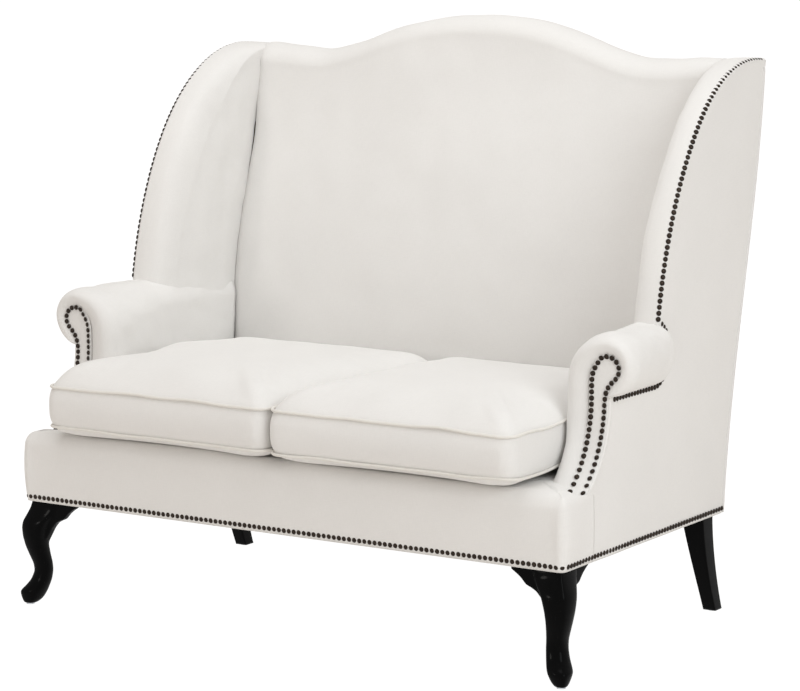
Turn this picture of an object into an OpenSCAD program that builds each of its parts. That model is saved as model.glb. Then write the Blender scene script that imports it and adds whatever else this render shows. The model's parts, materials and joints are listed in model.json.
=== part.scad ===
// High back wing settee: a raked camel back between two wings, rolled arms, two loose seat
// cushions, nailed trim, cabriole front legs and sabre back legs. Millimetres, +Z up, the
// front faces -Y. The origin is on the floor under the middle of the settee's box.
// Left and right are as seen by someone who stands in front of it.

/* [Body] */
// Width across the outer faces of the two side panels
body_w = 1320; // [1200:10:1500]
// Depth of the base, from the front rail's face to the foot of the back
base_d = 692; // [640:2:760]
// How far the top of the back leans behind its foot
back_rake = 163; // [120:1:200]
// Height of the bare legs, floor to the underside of the frame
leg_h = 227; // [180:1:260]
// Height of the padded front rail's top
rail_top = 378; // [350:1:400]
// Thickness of the side and back panels
skin_t = 12; // [8:1:16]

/* [Back] */
// Height of the top of the wings
wing_top = 1170; // [1080:1:1260]
// Height of the back at its low shoulders beside the hump
shoulder_h = 1163; // [1070:1:1250]
// Rise of the camel hump over the shoulders
hump_rise = 85; // [20:1:130]
// Distance from the middle of the back to where the hump ends
hump_half_w = 430; // [300:5:480]
// Thickness of the back at the seat, from its face to its outside
back_t = 44; // [30:1:60]
// How far the face of the inside back leans back by the top of its curve
back_lean = 125; // [80:1:150]
// How far the inside back is crowned at its middle
back_crown = 20; // [5:1:28]

/* [Arms] */
// Height of the arms
arm_h = 663; // [620:1:700]
// Thickness of an arm, from the side panel's outer face to the inner face
arm_t = 92; // [75:1:110]
// Radius of the arm's roll
roll_r = 60; // [50:1:64]
// How far the roll stands outside the side panel
roll_out = 56; // [40:1:62]
// How far the roll's back end stands outside the side panel
roll_end_out = 36; // [20:1:50]
// Radius of the curve from the arm's inner face up to its top
shoulder_r = 72; // [60:1:80]
// Distance from the front rail's face back to the arm's front
arm_front_y = 181; // [160:1:220]
// Radius of the forward sweep at the foot of the arm's front
sweep_r = 218; // [200:1:260]
// Height over the front rail at which the sweep begins
sweep_h = 160; // [130:1:180]

/* [Wings] */
// Thickness of a wing, from the side panel's outer face to the inner face
wing_t = 80; // [70:1:84]
// Distance from the foot of the wing's front edge back to the foot of the back
wing_foot_d = 312; // [280:1:340]
// How far in from its front edge the wing's inner face is rounded
wing_edge_w = 60; // [30:1:70]

/* [Seat cushions] */
// How far the cushions stand in front of the front rail
cushion_front = 35; // [0:1:60]
// Height of the lower welt
welt_low_h = 400; // [390:1:420]
// Height of the upper welt
welt_high_h = 486; // [460:1:520]
// Rise of the crown over the upper welt
crown_rise = 50; // [10:1:70]
// Radius of a cushion's corners
cushion_corner_r = 55; // [30:1:80]
// Diameter of the welt cord
welt_d = 9; // [6:0.5:12]
// Gap between the two cushions
cushion_gap = 2; // [1:0.5:10]

/* [Front border] */
// Depth of the padded border over the front rail
border_d = 120; // [110:1:130]
// Radius of the border's top front edge
border_front_r = 33; // [10:1:40]
// Radius of the border's top side edges
border_side_r = 26; // [8:1:30]
// Radius of the border's upright corners
border_corner_r = 14; // [4:1:20]

/* [Nails] */
// Diameter of a nail head
nail_d = 11; // [8:0.5:13]
// Height of a nail head's dome
nail_h = 2.8; // [1.5:0.1:4]
// Distance from nail to nail along a row
nail_pitch = 12.2; // [11:0.1:20]
// Distance of the bottom rows over the lower edge of the cover
nail_edge = 10; // [7:0.5:20]

/* [Legs] */
// Side of the square block at the top of a front leg
block_w = 62; // [55:1:68]
// Length of the ears on a front leg, from the corner of the frame
ear_l = 121; // [100:1:140]
// Thickness of the ears
ear_t = 34; // [24:1:40]
// Distance of a front leg's block from the corner of the frame, each way
block_inset = 10; // [6:1:16]
// Depth of a back leg at its top
back_leg_top_d = 50; // [40:1:60]
// Depth of a back leg at the floor
back_leg_foot_d = 32; // [24:1:40]
// How far a back leg's foot stands behind its top
back_leg_kick = 58; // [30:1:90]
// How far the tops of the back legs stand behind the back panel
back_leg_out = 14; // [0:1:20]
// Width of a back leg at its top
back_leg_top_w = 54; // [44:1:60]
// Width of a back leg at the floor
back_leg_foot_w = 30; // [24:1:40]
// Distance of the back legs from the outer faces of the side panels
back_leg_inset = 34; // [20:1:60]
// Thickness of the glide under each foot
glide_t = 2.5; // [1:0.5:5]
// Diameter of the glides
glide_d = 18; // [10:1:20]

/* [Frame] */
// Thickness of the frame's timber
timber_t = 28; // [22:1:32]
// Height of the seat rails
rail_h = 103; // [90:1:108]
// Depth of the back posts
post_d = 50; // [40:1:60]
// Number of serpentine seat springs
spring_count = 8; // [4:1:10]
// Thickness of the spring wire
wire_t = 4; // [3:0.5:5]
// Width of the webbing straps
web_w = 50; // [40:1:60]

/* [Hidden] */

round_fn = 48;
small_fn = 24;
// Room between neighbouring pieces, and between curved ones
fit = 0.3;
curve_gap = 0.8;
// How far a cutting shape runs past what it cuts
over = 60;

// Places that follow from the driving sizes
half_w = body_w / 2;
core_x = half_w - skin_t;
frame_x = core_x - fit;
arm_in = half_w - arm_t;
wing_in = half_w - wing_t;
seat_back_y = base_d - back_t;
wing_front_y = base_d - wing_foot_d;
wing_back_in = 5;
wing_back_y = base_d + back_rake - wing_back_in;
roll_x = half_w + roll_out - roll_r;
roll_z = arm_h - roll_r;
shoulder_x = arm_in + shoulder_r;
shoulder_z = arm_h - shoulder_r;
roll_foot_gap = 14;
roll_end_y = wing_front_y - roll_foot_gap;
roll_end_a = half_w + roll_end_out - roll_x;
roll_end_in = 5;
roll_end_d = roll_r - roll_end_in;
sweep_z = rail_top + sweep_h;
sweep_y = arm_front_y - sweep_r;
rail_z = leg_h + rail_h;
post_y = skin_t + curve_gap + post_d;
frame_y = skin_t + curve_gap + timber_t;
front_rail_y = skin_t + fit;
back_rail_y = base_d - skin_t - fit - timber_t;

// Pads and layers of the upholstery
arm_pad_t = 20;
arm_wall_t = 14;
facing_t = 4;
wing_wall_t = 14;
back_top_pad = 18;
web_t = 2;
web_room = 6;
hessian_t = 1.6;
clip_t = 2;
pad_z = rail_z + wire_t + clip_t + hessian_t + 2 * fit;
dust_t = 1.6;

function turned(v) = [for (i = [len(v) - 1:-1:0]) v[i]];
function smooth(t) = let (c = max(0, min(1, t))) c * c * (3 - 2 * c);
function mix(a, b, t) = a + (b - a) * t;

// Height of the settee's top edge at a distance x from the middle
shoulder_lift = 7;
hump_power_share = 1.35;
function crest(x) = let (a = abs(x))
    shoulder_h + hump_rise * smooth(1 - pow(a / hump_half_w, hump_power_share))
    + shoulder_lift * smooth((a - hump_half_w) / (wing_in - hump_half_w));

// Line of the back's outer face: a soft S that leans back
bend_share = 0.65;
function wing_rear_y(z) = let (t = (z - leg_h) / (wing_top - leg_h))
    base_d + back_rake * mix(t, smooth(t), bend_share);

// The middle of the settee's depth, cushions and top of the back included
mid_y = (wing_rear_y(shoulder_h + hump_rise) - cushion_front) / 2;

// Line of the inside back's face: upright behind the cushions, then leaning back
lean_start = 44;
lean_over = 56;
lean_low = welt_high_h + lean_start;
lean_high = wing_top + lean_over;
function inside_y(z) = seat_back_y + back_lean * smooth((z - lean_low) / (lean_high - lean_low));

// Front edge of a wing as a cubic curve from the arm's top to the back of the wing's top
wing_curve_shares = [[0, 0], [0.084, 0.507], [0.423, 1.066], [1, 1]];
wing_d = wing_back_y - wing_front_y;
wing_rise = wing_top - arm_h;
function wing_control(k) = [wing_front_y + wing_curve_shares[k][0] * wing_d,
                            arm_h + wing_curve_shares[k][1] * wing_rise];
function cubic(a, b, c, d, t) = let (s = 1 - t)
    s * s * s * a + 3 * s * s * t * b + 3 * s * t * t * c + t * t * t * d;
function wing_point(t) = cubic(wing_control(0), wing_control(1), wing_control(2), wing_control(3), t);
function wing_slope(t) = let (e = 0.001, a = wing_point(min(1, t + e)) - wing_point(max(0, t - e)))
    a / norm(a);
// The same edge, moved inwards by a distance
function wing_inset(t, d) = let (s = wing_slope(t)) wing_point(t) + d * [s[1], -s[0]];
wing_steps = 20;
function wing_edge(d, t0 = 0, t1 = 1) =
    [for (i = [0:wing_steps]) wing_inset(mix(t0, t1, i / wing_steps), d)];

// Equal steps along a chain of points
function chain_marks(ps) = [for (i = 0, s = 0; i < len(ps);
    s = s + (i + 1 < len(ps) ? norm(ps[i + 1] - ps[i]) : 0), i = i + 1) s];
function steps_along(ps, pitch) = let (m = chain_marks(ps), whole = m[len(m) - 1], n = round(whole / pitch))
    [for (i = [0:n]) let (s = i * whole / n) [for (k = [0:len(ps[0]) - 1])
        lookup(s, [for (j = [0:len(ps) - 1]) [m[j], ps[j][k]]])]];

// Shapes drawn in the Y-Z plane and carried along X, or in the X-Z plane and carried along Y
module along_x(x0, x1) translate([x0, 0, 0]) rotate([90, 0, 90]) linear_extrude(x1 - x0) children();
module along_y(y0, y1) translate([0, y1, 0]) rotate([90, 0, 0]) linear_extrude(y1 - y0) children();
module box(a, b) translate(a) cube(b - a);
module area(a, b) translate(a) square(b - a);
module on_side(side) {
    if (side < 0) mirror([1, 0, 0]) children();
    else children();
}
module placed() translate([0, -mid_y, 0]) children();

// What a rounded corner takes away, at a corner point, towards the quarter (sx, sy)
module corner_cut(p, r, sx, sy)
    translate([p[0] - sx * r, p[1] - sy * r]) difference() {
        translate([sx > 0 ? 0 : -2 * r, sy > 0 ? 0 : -2 * r]) square(2 * r);
        circle(r, $fn = round_fn);
    }

// A solid through rings that all have the same even number of points. Each end is closed by
// strips between the two halves of its ring.
module loft(rings, turn = false) {
    n = len(rings[0]);
    m = len(rings);
    sides = [for (i = [0:m - 2]) for (j = [0:n - 1]) let (k = (j + 1) % n, a = i * n, b = a + n)
        each [[a + j, b + j, b + k], [a + j, b + k, a + k]]];
    ends = [for (j = [0:n / 2 - 2]) let (b = (m - 1) * n)
        each [[j, j + 1, n - 1 - j], [j + 1, n - 2 - j, n - 1 - j],
              [b + n - 1 - j, b + j + 1, b + j], [b + n - 1 - j, b + n - 2 - j, b + j + 1]]];
    faces = concat(sides, ends);
    polyhedron([for (r = rings) each r], turn ? [for (f = faces) [f[2], f[1], f[0]]] : faces, convexity = 8);
}

// A closed loop of tube along points that go round level
module loop_tube(path, d, sides = 6) {
    n = len(path);
    points = [for (i = [0:n - 1])
        let (t = path[(i + 1) % n] - path[(i + n - 1) % n], u = [t[1], -t[0], 0] / norm(t))
        for (j = [0:sides - 1]) let (a = 360 * j / sides) path[i] + d / 2 * (cos(a) * u + [0, 0, sin(a)])];
    faces = [for (i = [0:n - 1]) for (j = [0:sides - 1])
        let (k = (j + 1) % sides, a = i * sides, b = ((i + 1) % n) * sides)
            each [[a + j, b + k, b + j], [a + j, a + k, b + k]]];
    polyhedron(points, faces, convexity = 8);
}

module timber() color([0.80, 0.64, 0.43]) children();
module cloth() color([0.93, 0.91, 0.86]) children();
module ebony() color([0.06, 0.055, 0.05]) children();
module steel() color([0.62, 0.63, 0.65]) children();
module bronze() color([0.20, 0.16, 0.12]) children();
module jute() color([0.70, 0.58, 0.40]) children();

// Timber frame

bolt_d = 8;
bolt_room = 0.2;
bolt_l = 70;
bolt_up_share = 0.5;
block_l = 90;
front_bolt = [frame_x - timber_t - fit - bolt_d - wire_t, front_rail_y + timber_t + fit + bolt_d + wire_t];
back_leg_y = base_d + back_leg_out - back_leg_top_d;
back_bolt = [half_w - back_leg_inset - back_leg_top_w / 2, back_rail_y + timber_t / 2];

module bolt_hole(p, sides = [-1, 1])
    for (s = sides) translate([s * p[0], p[1], leg_h - bolt_l * bolt_up_share - bolt_room])
        cylinder(h = bolt_l + 2 * bolt_room, d = bolt_d + 2 * bolt_room, $fn = small_fn);

module front_seat_rail() timber()
    box([-frame_x, front_rail_y, leg_h], [frame_x, front_rail_y + timber_t, rail_z]);

module back_seat_rail() timber() difference() {
    box([-(frame_x - timber_t - fit), back_rail_y, leg_h],
        [frame_x - timber_t - fit, back_rail_y + timber_t, rail_z]);
    bolt_hole(back_bolt);
}

module side_seat_rail(side) timber() on_side(side)
    box([frame_x - timber_t, front_rail_y + timber_t + fit, leg_h],
        [frame_x, back_rail_y + timber_t, rail_z]);

brace_drop = 3;
module centre_seat_brace() timber()
    box([-timber_t / 2, front_rail_y + timber_t + fit, leg_h],
        [timber_t / 2, back_rail_y - fit, rail_z - brace_drop]);

block_h_share = 0.6;
module corner_block(y, dy) let (x = frame_x - timber_t - fit)
    translate([0, 0, leg_h]) linear_extrude(rail_h * block_h_share)
        polygon([[x, y], [x - block_l, y], [x, y + dy * block_l]]);

module corner_blocks() timber() difference() {
    for (s = [-1, 1]) on_side(s) {
        corner_block(front_rail_y + timber_t + fit, 1);
        corner_block(back_rail_y - fit, -1);
    }
    bolt_hole(front_bolt);
}

// Outline of an arm, seen from the front: upright inner face, curved shoulder and roll
module arm_outline(d = 0) {
    area([arm_in + d, rail_z + fit], [frame_x, shoulder_z]);
    intersection() {
        translate([shoulder_x, shoulder_z]) circle(shoulder_r - d, $fn = round_fn);
        area([0, shoulder_z - over], [frame_x, arm_h]);
    }
}
module roll_outline(d = 0) translate([roll_x, roll_z]) circle(roll_r - d, $fn = round_fn);

// Hollow of an arm: what its timber and its open inside take up
core_top = shoulder_z - fit;
module core_outline(d = 0) {
    area([arm_in + arm_pad_t + d, rail_z - over + d], [core_x - d, core_top - d]);
    intersection() {
        roll_outline(arm_pad_t + d);
        area([0, rail_z], [core_x - d, arm_h]);
    }
}

// Place of an arm's front face at a height
function arm_front(z) = z >= sweep_z ? arm_front_y : sweep_y + sqrt(sweep_r * sweep_r - pow(sweep_z - z, 2));

// Everything in front of an arm's front face, moved back by d, seen from the side
module before_arm(d = 0) {
    intersection() {
        translate([sweep_y, sweep_z]) circle(sweep_r + d, $fn = 2 * round_fn);
        area([sweep_y - sweep_r, 0], [arm_front_y + d, sweep_z]);
    }
    area([sweep_y - sweep_r, sweep_z - fit], [arm_front_y + d, arm_h + over]);
    area([sweep_y - sweep_r, 0], [border_d + fit, rail_top + fit]);
}
module behind_front(d = 0) difference() {
    area([0, rail_z + fit], [base_d + over, arm_h + over]);
    before_arm(d);
}

module arm_post(side) timber() on_side(side) intersection() {
    along_y(0, base_d) core_outline(fit);
    along_x(0, body_w) difference() {
        behind_front(arm_wall_t + fit);
        difference() {
            area([0, 0], [base_d + over, arm_h + over]);
            before_arm(arm_wall_t + timber_t);
        }
    }
    box([0, border_d + fit, rail_z + fit], [body_w, arm_front_y + arm_wall_t + timber_t, arm_h]);
}

wing_board_w = 46;
wing_board_gap = 2;
wing_board_inset = wing_wall_t + wing_board_gap;
wing_board_start = 0.05;
wing_post_y = wing_inset(wing_board_start, wing_board_inset)[0];
module arm_top_rail(side) timber() on_side(side)
    along_y(arm_front_y + arm_wall_t + timber_t + 2 * fit, wing_post_y - fit) intersection() {
        roll_outline(arm_pad_t + fit);
        area([0, 0], [frame_x, arm_h]);
    }

band_steps = 16;
function rear_band(d0, d1, z0, z1) = concat(
    [for (i = [0:band_steps]) let (z = mix(z0, z1, i / band_steps)) [wing_rear_y(z) - d0, z]],
    [for (i = [0:band_steps]) let (z = mix(z1, z0, i / band_steps)) [wing_rear_y(z) - d1, z]]);

post_gap = 6;
post_top = wing_top - wing_wall_t - post_gap;
module back_post(side) timber() on_side(side)
    along_x(frame_x - timber_t, frame_x)
        polygon(rear_band(skin_t + curve_gap, post_y, rail_z + fit, post_top));

module wing_frame(side) timber() on_side(side)
    along_x(frame_x - timber_t, frame_x) difference() {
        polygon(concat([[wing_post_y, rail_z + fit]], wing_edge(wing_board_inset, wing_board_start),
            turned(wing_edge(wing_board_inset + wing_board_w, wing_board_start)),
            [[wing_post_y + wing_board_w, rail_z + fit]]));
        polygon(rear_band(-over, post_y + fit, rail_z, wing_top + over));
    }

back_rail_h = 80;
back_steps = 24;
function back_xs(half) = [for (i = [0:back_steps]) mix(-half, half, i / back_steps)];
rail_half = frame_x - timber_t - fit;
// Section of the top rail at x, grown by g
function rail_ring(x, g) = let (z1 = crest(x) - back_top_pad - 2 * curve_gap, z0 = z1 - back_rail_h) [
    [x, wing_rear_y(z0) - skin_t - curve_gap + g, z0 - g],
    [x, wing_rear_y(z1) - skin_t - curve_gap + g, z1 + g],
    [x, wing_rear_y(z1) - frame_y - g, z1 + g], [x, wing_rear_y(z0) - frame_y - g, z0 - g]];
module top_back_rail(grow = 0) timber() loft([for (x = back_xs(rail_half)) rail_ring(x, grow)]);

lower_rail_up = 22;
lower_rail_z = rail_top + lower_rail_up;
lower_rail_h = 60;
module lower_back_rail() timber()
    along_x(-rail_half, rail_half)
        polygon(rear_band(skin_t + curve_gap, frame_y, lower_rail_z, lower_rail_z + lower_rail_h));

slat_w = 60;
module back_slat() timber()
    along_x(-slat_w / 2, slat_w / 2)
        polygon(rear_band(skin_t + curve_gap, frame_y, lower_rail_z + lower_rail_h + fit,
            crest(slat_w / 2) - back_top_pad - back_rail_h - 2 * curve_gap - fit));

// Springs, webbing and layers

spring_a = 22;
spring_bends = 14;
spring_y0 = front_rail_y + timber_t / 2;
spring_y1 = back_rail_y + timber_t / 2;
spring_pitch = (spring_y1 - spring_y0) / spring_bends;
spring_edge = 70;
spring_xs = [for (i = [0:spring_count - 1]) mix(-1, 1, i / (spring_count - 1)) * (arm_in - spring_edge)];
wire_z = rail_z + clip_t + fit;

// One half turn of the wire, on the side given
module spring_bend(y, side)
    translate([side * spring_a, y]) difference() {
        circle((spring_pitch + wire_t) / 2, $fn = small_fn);
        circle((spring_pitch - wire_t) / 2, $fn = small_fn);
        translate([side > 0 ? -spring_pitch : 0, -spring_pitch]) square([spring_pitch, 2 * spring_pitch]);
    }

module seat_springs() steel()
    for (x = spring_xs) translate([x, 0, wire_z]) linear_extrude(wire_t) {
        for (i = [0:spring_bends])
            area([-spring_a, spring_y0 + i * spring_pitch - wire_t / 2],
                 [spring_a, spring_y0 + i * spring_pitch + wire_t / 2]);
        for (i = [0:spring_bends - 1])
            spring_bend(spring_y0 + (i + 0.5) * spring_pitch, i % 2 == 0 ? 1 : -1);
    }

clip_w = 20;
module spring_clip(y) {
    box([-clip_w / 2, y - timber_t / 2, rail_z], [clip_w / 2, y + timber_t / 2, rail_z + clip_t]);
    for (s = [-1, 1]) translate([0, y + s * (wire_t / 2 + fit + clip_t / 2), rail_z])
        box([-clip_w / 2, -clip_t / 2, 0], [clip_w / 2, clip_t / 2, clip_t + wire_t]);
}
module spring_clips() steel()
    for (x = spring_xs) for (y = [spring_y0, spring_y1]) translate([x, 0, 0]) spring_clip(y);

deck_half = arm_in - fit;
module seat_hessian() jute()
    box([-deck_half, front_rail_y, pad_z - hessian_t], [deck_half, back_rail_y + timber_t, pad_z]);

strap_xs_shares = [-0.76, -0.38, 0, 0.38, 0.76];
strap_end = 8;
module back_webbing() jute()
    for (share = strap_xs_shares) let (x = share * wing_in)
        along_x(x - web_w / 2, x + web_w / 2)
            polygon(rear_band(frame_y + curve_gap, frame_y + curve_gap + web_t, lower_rail_z + strap_end,
                crest(abs(x) + web_w / 2) - back_top_pad - strap_end));

module seat_deck_pad() cloth()
    box([-deck_half, border_d + fit, pad_z], [deck_half, seat_back_y - fit, rail_top]);

// Padded border over the front rail, with the room for the rails behind it
module front_border() cloth() difference() {
    intersection() {
        along_x(-half_w, half_w) difference() {
            area([0, leg_h], [border_d, rail_top]);
            corner_cut([0, rail_top], border_front_r, -1, 1);
        }
        along_y(0, border_d) difference() {
            area([-half_w, leg_h], [half_w, rail_top]);
            for (s = [-1, 1]) corner_cut([s * half_w, rail_top], border_side_r, s, 1);
        }
        translate([0, 0, leg_h]) linear_extrude(rail_top - leg_h) difference() {
            area([-half_w, 0], [half_w, border_d]);
            for (s = [-1, 1]) corner_cut([s * half_w, 0], border_corner_r, s, -1);
        }
    }
    box([-core_x, skin_t, leg_h - over], [core_x, border_d + over, pad_z + fit]);
}

// Inside back: a crowned face that rolls over the top rail to the back panel
face_steps = 9;
front_arc_steps = 5;
rear_arc_steps = 4;
back_round = 46;
apex_share = 0.6;
back_lap = 4;
back_rise = 0.6;
back_half = wing_in - 2 * fit;
back_z0 = pad_z + fit;
function crown_at(x, z) = back_crown * (1 - pow(x / back_half, 2))
    * sin(180 * max(0, min(1, (z - lean_low) / (lean_high - lean_low))));
function back_outer(x) = let (c = crest(x), zf = c - back_round, zr = c - back_top_pad,
        yf = inside_y(zf) - crown_at(x, zf), yr = wing_rear_y(zr), ya = mix(yf, yr, apex_share)) concat(
    [for (i = [0:face_steps]) let (z = mix(back_z0, zf, i / face_steps))
        [x, inside_y(z) - crown_at(x, z), z]],
    [for (i = [1:front_arc_steps]) let (a = 90 * i / front_arc_steps)
        [x, ya + (yf - ya) * cos(a), zf + back_round * sin(a)]],
    [for (i = [1:rear_arc_steps]) let (a = 90 * i / rear_arc_steps)
        [x, ya + (yr - ya) * sin(a), zr + back_top_pad * cos(a)]]);
function back_inner(x, n) = let (zr = crest(x) - back_top_pad) concat(
    [for (i = [0:n - rear_arc_steps - 1]) let (z = mix(back_z0, zr, i / (n - rear_arc_steps - 1)))
        [x, wing_rear_y(z) - frame_y - web_room, z]],
    [for (i = [1:rear_arc_steps]) let (y0 = wing_rear_y(zr) - frame_y - web_room)
        [x, mix(y0, wing_rear_y(zr) - back_lap, i / rear_arc_steps), zr + back_rise * i / rear_arc_steps]]);
function back_ring(x) = let (o = back_outer(x)) concat(o, turned(back_inner(x, len(o))));
module inside_back() cloth() loft([for (x = back_xs(back_half)) back_ring(x)], turn = true);

// Outline of the back panel, seen from behind
module outside_back() cloth() intersection() {
    along_x(-half_w, half_w) polygon(rear_band(0, skin_t, leg_h, shoulder_h + hump_rise));
    along_y(base_d - over, base_d + back_rake + over)
        polygon(concat([[-half_w, leg_h], [half_w, leg_h]],
            [for (x = turned(back_xs(half_w))) [x, crest(x) - back_top_pad - fit]]));
}

// Arms: a padded shell round the timber, with the roll outside the panel
module before_back(gap) polygon(concat([[0, 0]],
    [for (i = [0:band_steps]) let (z = mix(rail_z - over, arm_h + over, i / band_steps))
        [inside_y(z) - gap, z]],
    [[0, arm_h + over]]));
// The roll narrows towards its back end, which is closed like an egg
dome_steps = 5;
dome_turn = 84;
function roll_ring(y, a, b) = [for (i = [0:round_fn - 1]) let (t = 360 * i / round_fn)
    [roll_x + a * cos(t), y, roll_z + b * sin(t)]];
module roll_mass(d = 0) loft(concat(
    [roll_ring(0, roll_r - d, roll_r - d), roll_ring(arm_front_y, roll_r - d, roll_r - d)],
    [for (i = [0:dome_steps]) let (t = dome_turn * i / dome_steps)
        roll_ring(roll_end_y + (roll_end_d - d) * sin(t), (roll_end_a - d) * cos(t), (roll_r - d) * cos(t))]),
    turn = true);
module arm_mass(d = 0) {
    along_y(0, base_d) arm_outline(d);
    roll_mass(d);
}
module inside_arm(side) cloth() on_side(side) difference() {
    intersection() {
        arm_mass();
        along_x(0, body_w) intersection() {
            behind_front();
            before_back(2 * curve_gap);
        }
    }
    intersection() {
        along_y(0, base_d) core_outline();
        along_x(0, body_w) behind_front(arm_wall_t);
    }
    box([frame_x - timber_t - curve_gap, wing_post_y - curve_gap, rail_z],
        [core_x, wing_post_y + wing_board_w + curve_gap, arm_h + over]);
}

// Arm facing: a scroll with a stem, on the front of an arm. Its outline runs outside the row of
// nails that goes up its inner edge, round the scroll and down its outer edge.
facing_edge = 7;
inner_nail_in = 38;
outer_nail_in = 9.5;
inner_nail_x = half_w - inner_nail_in;
outer_nail_x = half_w - outer_nail_in;
scroll_nail_r = 25.5;
scroll_drop = 5;
scroll_x = roll_x;
scroll_z = roll_z - scroll_drop;
arm_nail_z0 = rail_top + nail_d;
scroll_in = 125;
scroll_out = -50;
scroll_steps = 16;
neck_share = 2.5;
rise_steps = 10;
// Ways into and out of the scroll, as shares of its radius
scroll_in_shares = [[-1.263, -0.431], [-1.086, 0.02], [-0.835, 0.431]];
scroll_out_shares = [[0.294, -1.098], [0.04, -1.451], [-0.137, -1.92]];
function on_scroll(shares) = [for (q = shares) [scroll_x, scroll_z] + scroll_nail_r * q];
function facing_chain(z0) = concat(
    [for (i = [0:rise_steps]) [inner_nail_x, mix(z0, scroll_z - scroll_nail_r, i / rise_steps)]],
    on_scroll(scroll_in_shares),
    on_scroll([for (i = [0:scroll_steps])
        let (a = mix(scroll_in, scroll_out, i / scroll_steps)) [cos(a), sin(a)]]),
    on_scroll(scroll_out_shares),
    [for (i = [0:rise_steps])
        [outer_nail_x, mix(scroll_z - neck_share * scroll_nail_r, z0, i / rise_steps)]]);
// A chain moved to its left by a distance
function beside(ps, d) = let (n = len(ps) - 1) [for (i = [0:n])
    let (v = ps[min(n, i + 1)] - ps[max(0, i - 1)]) ps[i] + d * [-v[1], v[0]] / norm(v)];
module facing_outline() polygon(beside(facing_chain(rail_top + fit), facing_edge));
module arm_facing(side) cloth() on_side(side) intersection() {
    along_y(0, base_d) facing_outline();
    along_x(0, body_w) difference() {
        difference() {
            area([0, rail_top + fit], [arm_front_y, arm_h]);
            before_arm(-facing_t);
        }
        behind_front();
    }
}

// Wings: the inner face is rounded far in from the front edge, and the outer corner is cut flat
// for the nails
nail_flat = 6;
panel_inset = nail_flat + 2 * fit;
wing_base = roll_z;
wing_limit = wing_back_y + over;
// The rounding dies away towards the back, where the tops of the wing and the back are level
wing_fade_start = 0.5;
wing_fade_share = 0.12;
function wing_fade(t) = mix(1, wing_fade_share, smooth((t - wing_fade_start) / (1 - wing_fade_start)));
// Outline of a wing, inset by w where the rounding is whole, and by d all along
function wing_chain(w, d) = concat([[wing_front_y + w + d, wing_base]],
    [for (i = [0:wing_steps]) let (t = i / wing_steps) wing_inset(t, w * wing_fade(t) + d)]);
function wing_outline(w, d) = let (c = wing_chain(w, d), n = len(c)) concat(c,
    [for (i = [n - 1:-1:0]) [wing_limit, mix(wing_base, c[n - 1][1], i / (n - 1))]]);
// Rounding of a wing, as shares of its thickness and of the width of the rounding
wing_edge_shares = [[0, 1], [0.07, 0.7], [0.16, 0.43], [0.27, 0.23], [0.43, 0.1], [0.68, 0.02], [1, 0]];
function raised(x, ps) = [for (p = ps) [x, p[0], p[1]]];
module wing_mass(d = 0) loft(concat(
    [for (q = wing_edge_shares)
        raised(mix(wing_in + d, half_w - nail_flat, q[0]), wing_outline(wing_edge_w * q[1], d))],
    [raised(half_w, wing_outline(0, nail_flat + d))]), turn = true);
panel_back_top = crest(half_w) - back_top_pad;
module inside_wing(side) cloth() on_side(side) difference() {
    wing_mass();
    arm_mass(-curve_gap);
    wing_mass(wing_wall_t);
    along_x(frame_x - timber_t - curve_gap, core_x) polygon(wing_outline(0, wing_wall_t));
    along_x(core_x - fit, half_w + over) polygon(wing_outline(0, panel_inset - fit));
    along_x(0, body_w) {
        polygon(rear_band(-4 * over, skin_t + fit, rail_z, panel_back_top));
        polygon(rear_band(-4 * over, 0, rail_z, wing_top + over));
    }
    top_back_rail(2 * curve_gap);
}

// A side panel runs from the border up behind the arm's front, under the roll, round its back
// end and up the front edge of the wing
panel_steps = 10;
under_z = roll_z - roll_r - curve_gap - fit;
panel_wing_start = 0.012;
panel_round = 67;
function panel_chain() = concat([[border_d + fit, leg_h], [border_d + fit, rail_top + fit]],
    [for (i = [0:panel_steps]) let (z = mix(rail_top + fit, under_z, i / panel_steps))
        [arm_front(z) + curve_gap, z]],
    [for (i = [0:2 * panel_steps]) let (a = mix(-90, panel_round, i / (2 * panel_steps)))
        [roll_end_y + (roll_end_d + curve_gap) * cos(a), roll_z + (roll_r + curve_gap) * sin(a)]],
    wing_edge(panel_inset, panel_wing_start), [[wing_limit, wing_top - panel_inset], [wing_limit, leg_h]]);
module side_panel(side) cloth() on_side(side) along_x(core_x, half_w) difference() {
    polygon(panel_chain());
    polygon(rear_band(-4 * over, skin_t + curve_gap, leg_h - over, panel_back_top));
    polygon(rear_band(-4 * over, 0, leg_h - over, wing_top + over));
}

// Seat cushions
side_room = 2;
back_room = 4;
welt_groove = 1.7;
groove = welt_groove + welt_d / 2 + fit;
welt_room = 1;
box_round = 4;
cushion_draw = 4;
corner_steps = 4;
side_steps = 4;
seat_z = rail_top + fit;
cushion_min = [cushion_gap / 2 + welt_d / 2 - welt_groove, -cushion_front + welt_d / 2 - welt_groove];
cushion_max = [arm_in - side_room - welt_d / 2 + welt_groove,
               seat_back_y - back_room - welt_d / 2 + welt_groove];
function cushion_corner(k, d) = let (r = cushion_corner_r) [
    (k == 0 || k == 1) ? cushion_max[0] - d - r : cushion_min[0] + d + r,
    (k == 1 || k == 2) ? cushion_max[1] - d - r : cushion_min[1] + d + r];
function cushion_outline(d) = [for (k = [0:3])
    let (c = cushion_corner(k, d), n = cushion_corner((k + 1) % 4, d)) each concat(
        [for (i = [0:corner_steps]) let (a = 90 * (k - 1 + i / corner_steps))
            c + cushion_corner_r * [cos(a), sin(a)]],
        [for (i = [1:side_steps - 1]) let (t = i / side_steps, a = 90 * k)
            mix(c, n, t) + (cushion_corner_r - cushion_draw * sin(180 * t)) * [cos(a), sin(a)]])];
function level(z, ps) = [for (p = ps) [p[0], p[1], z]];

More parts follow.
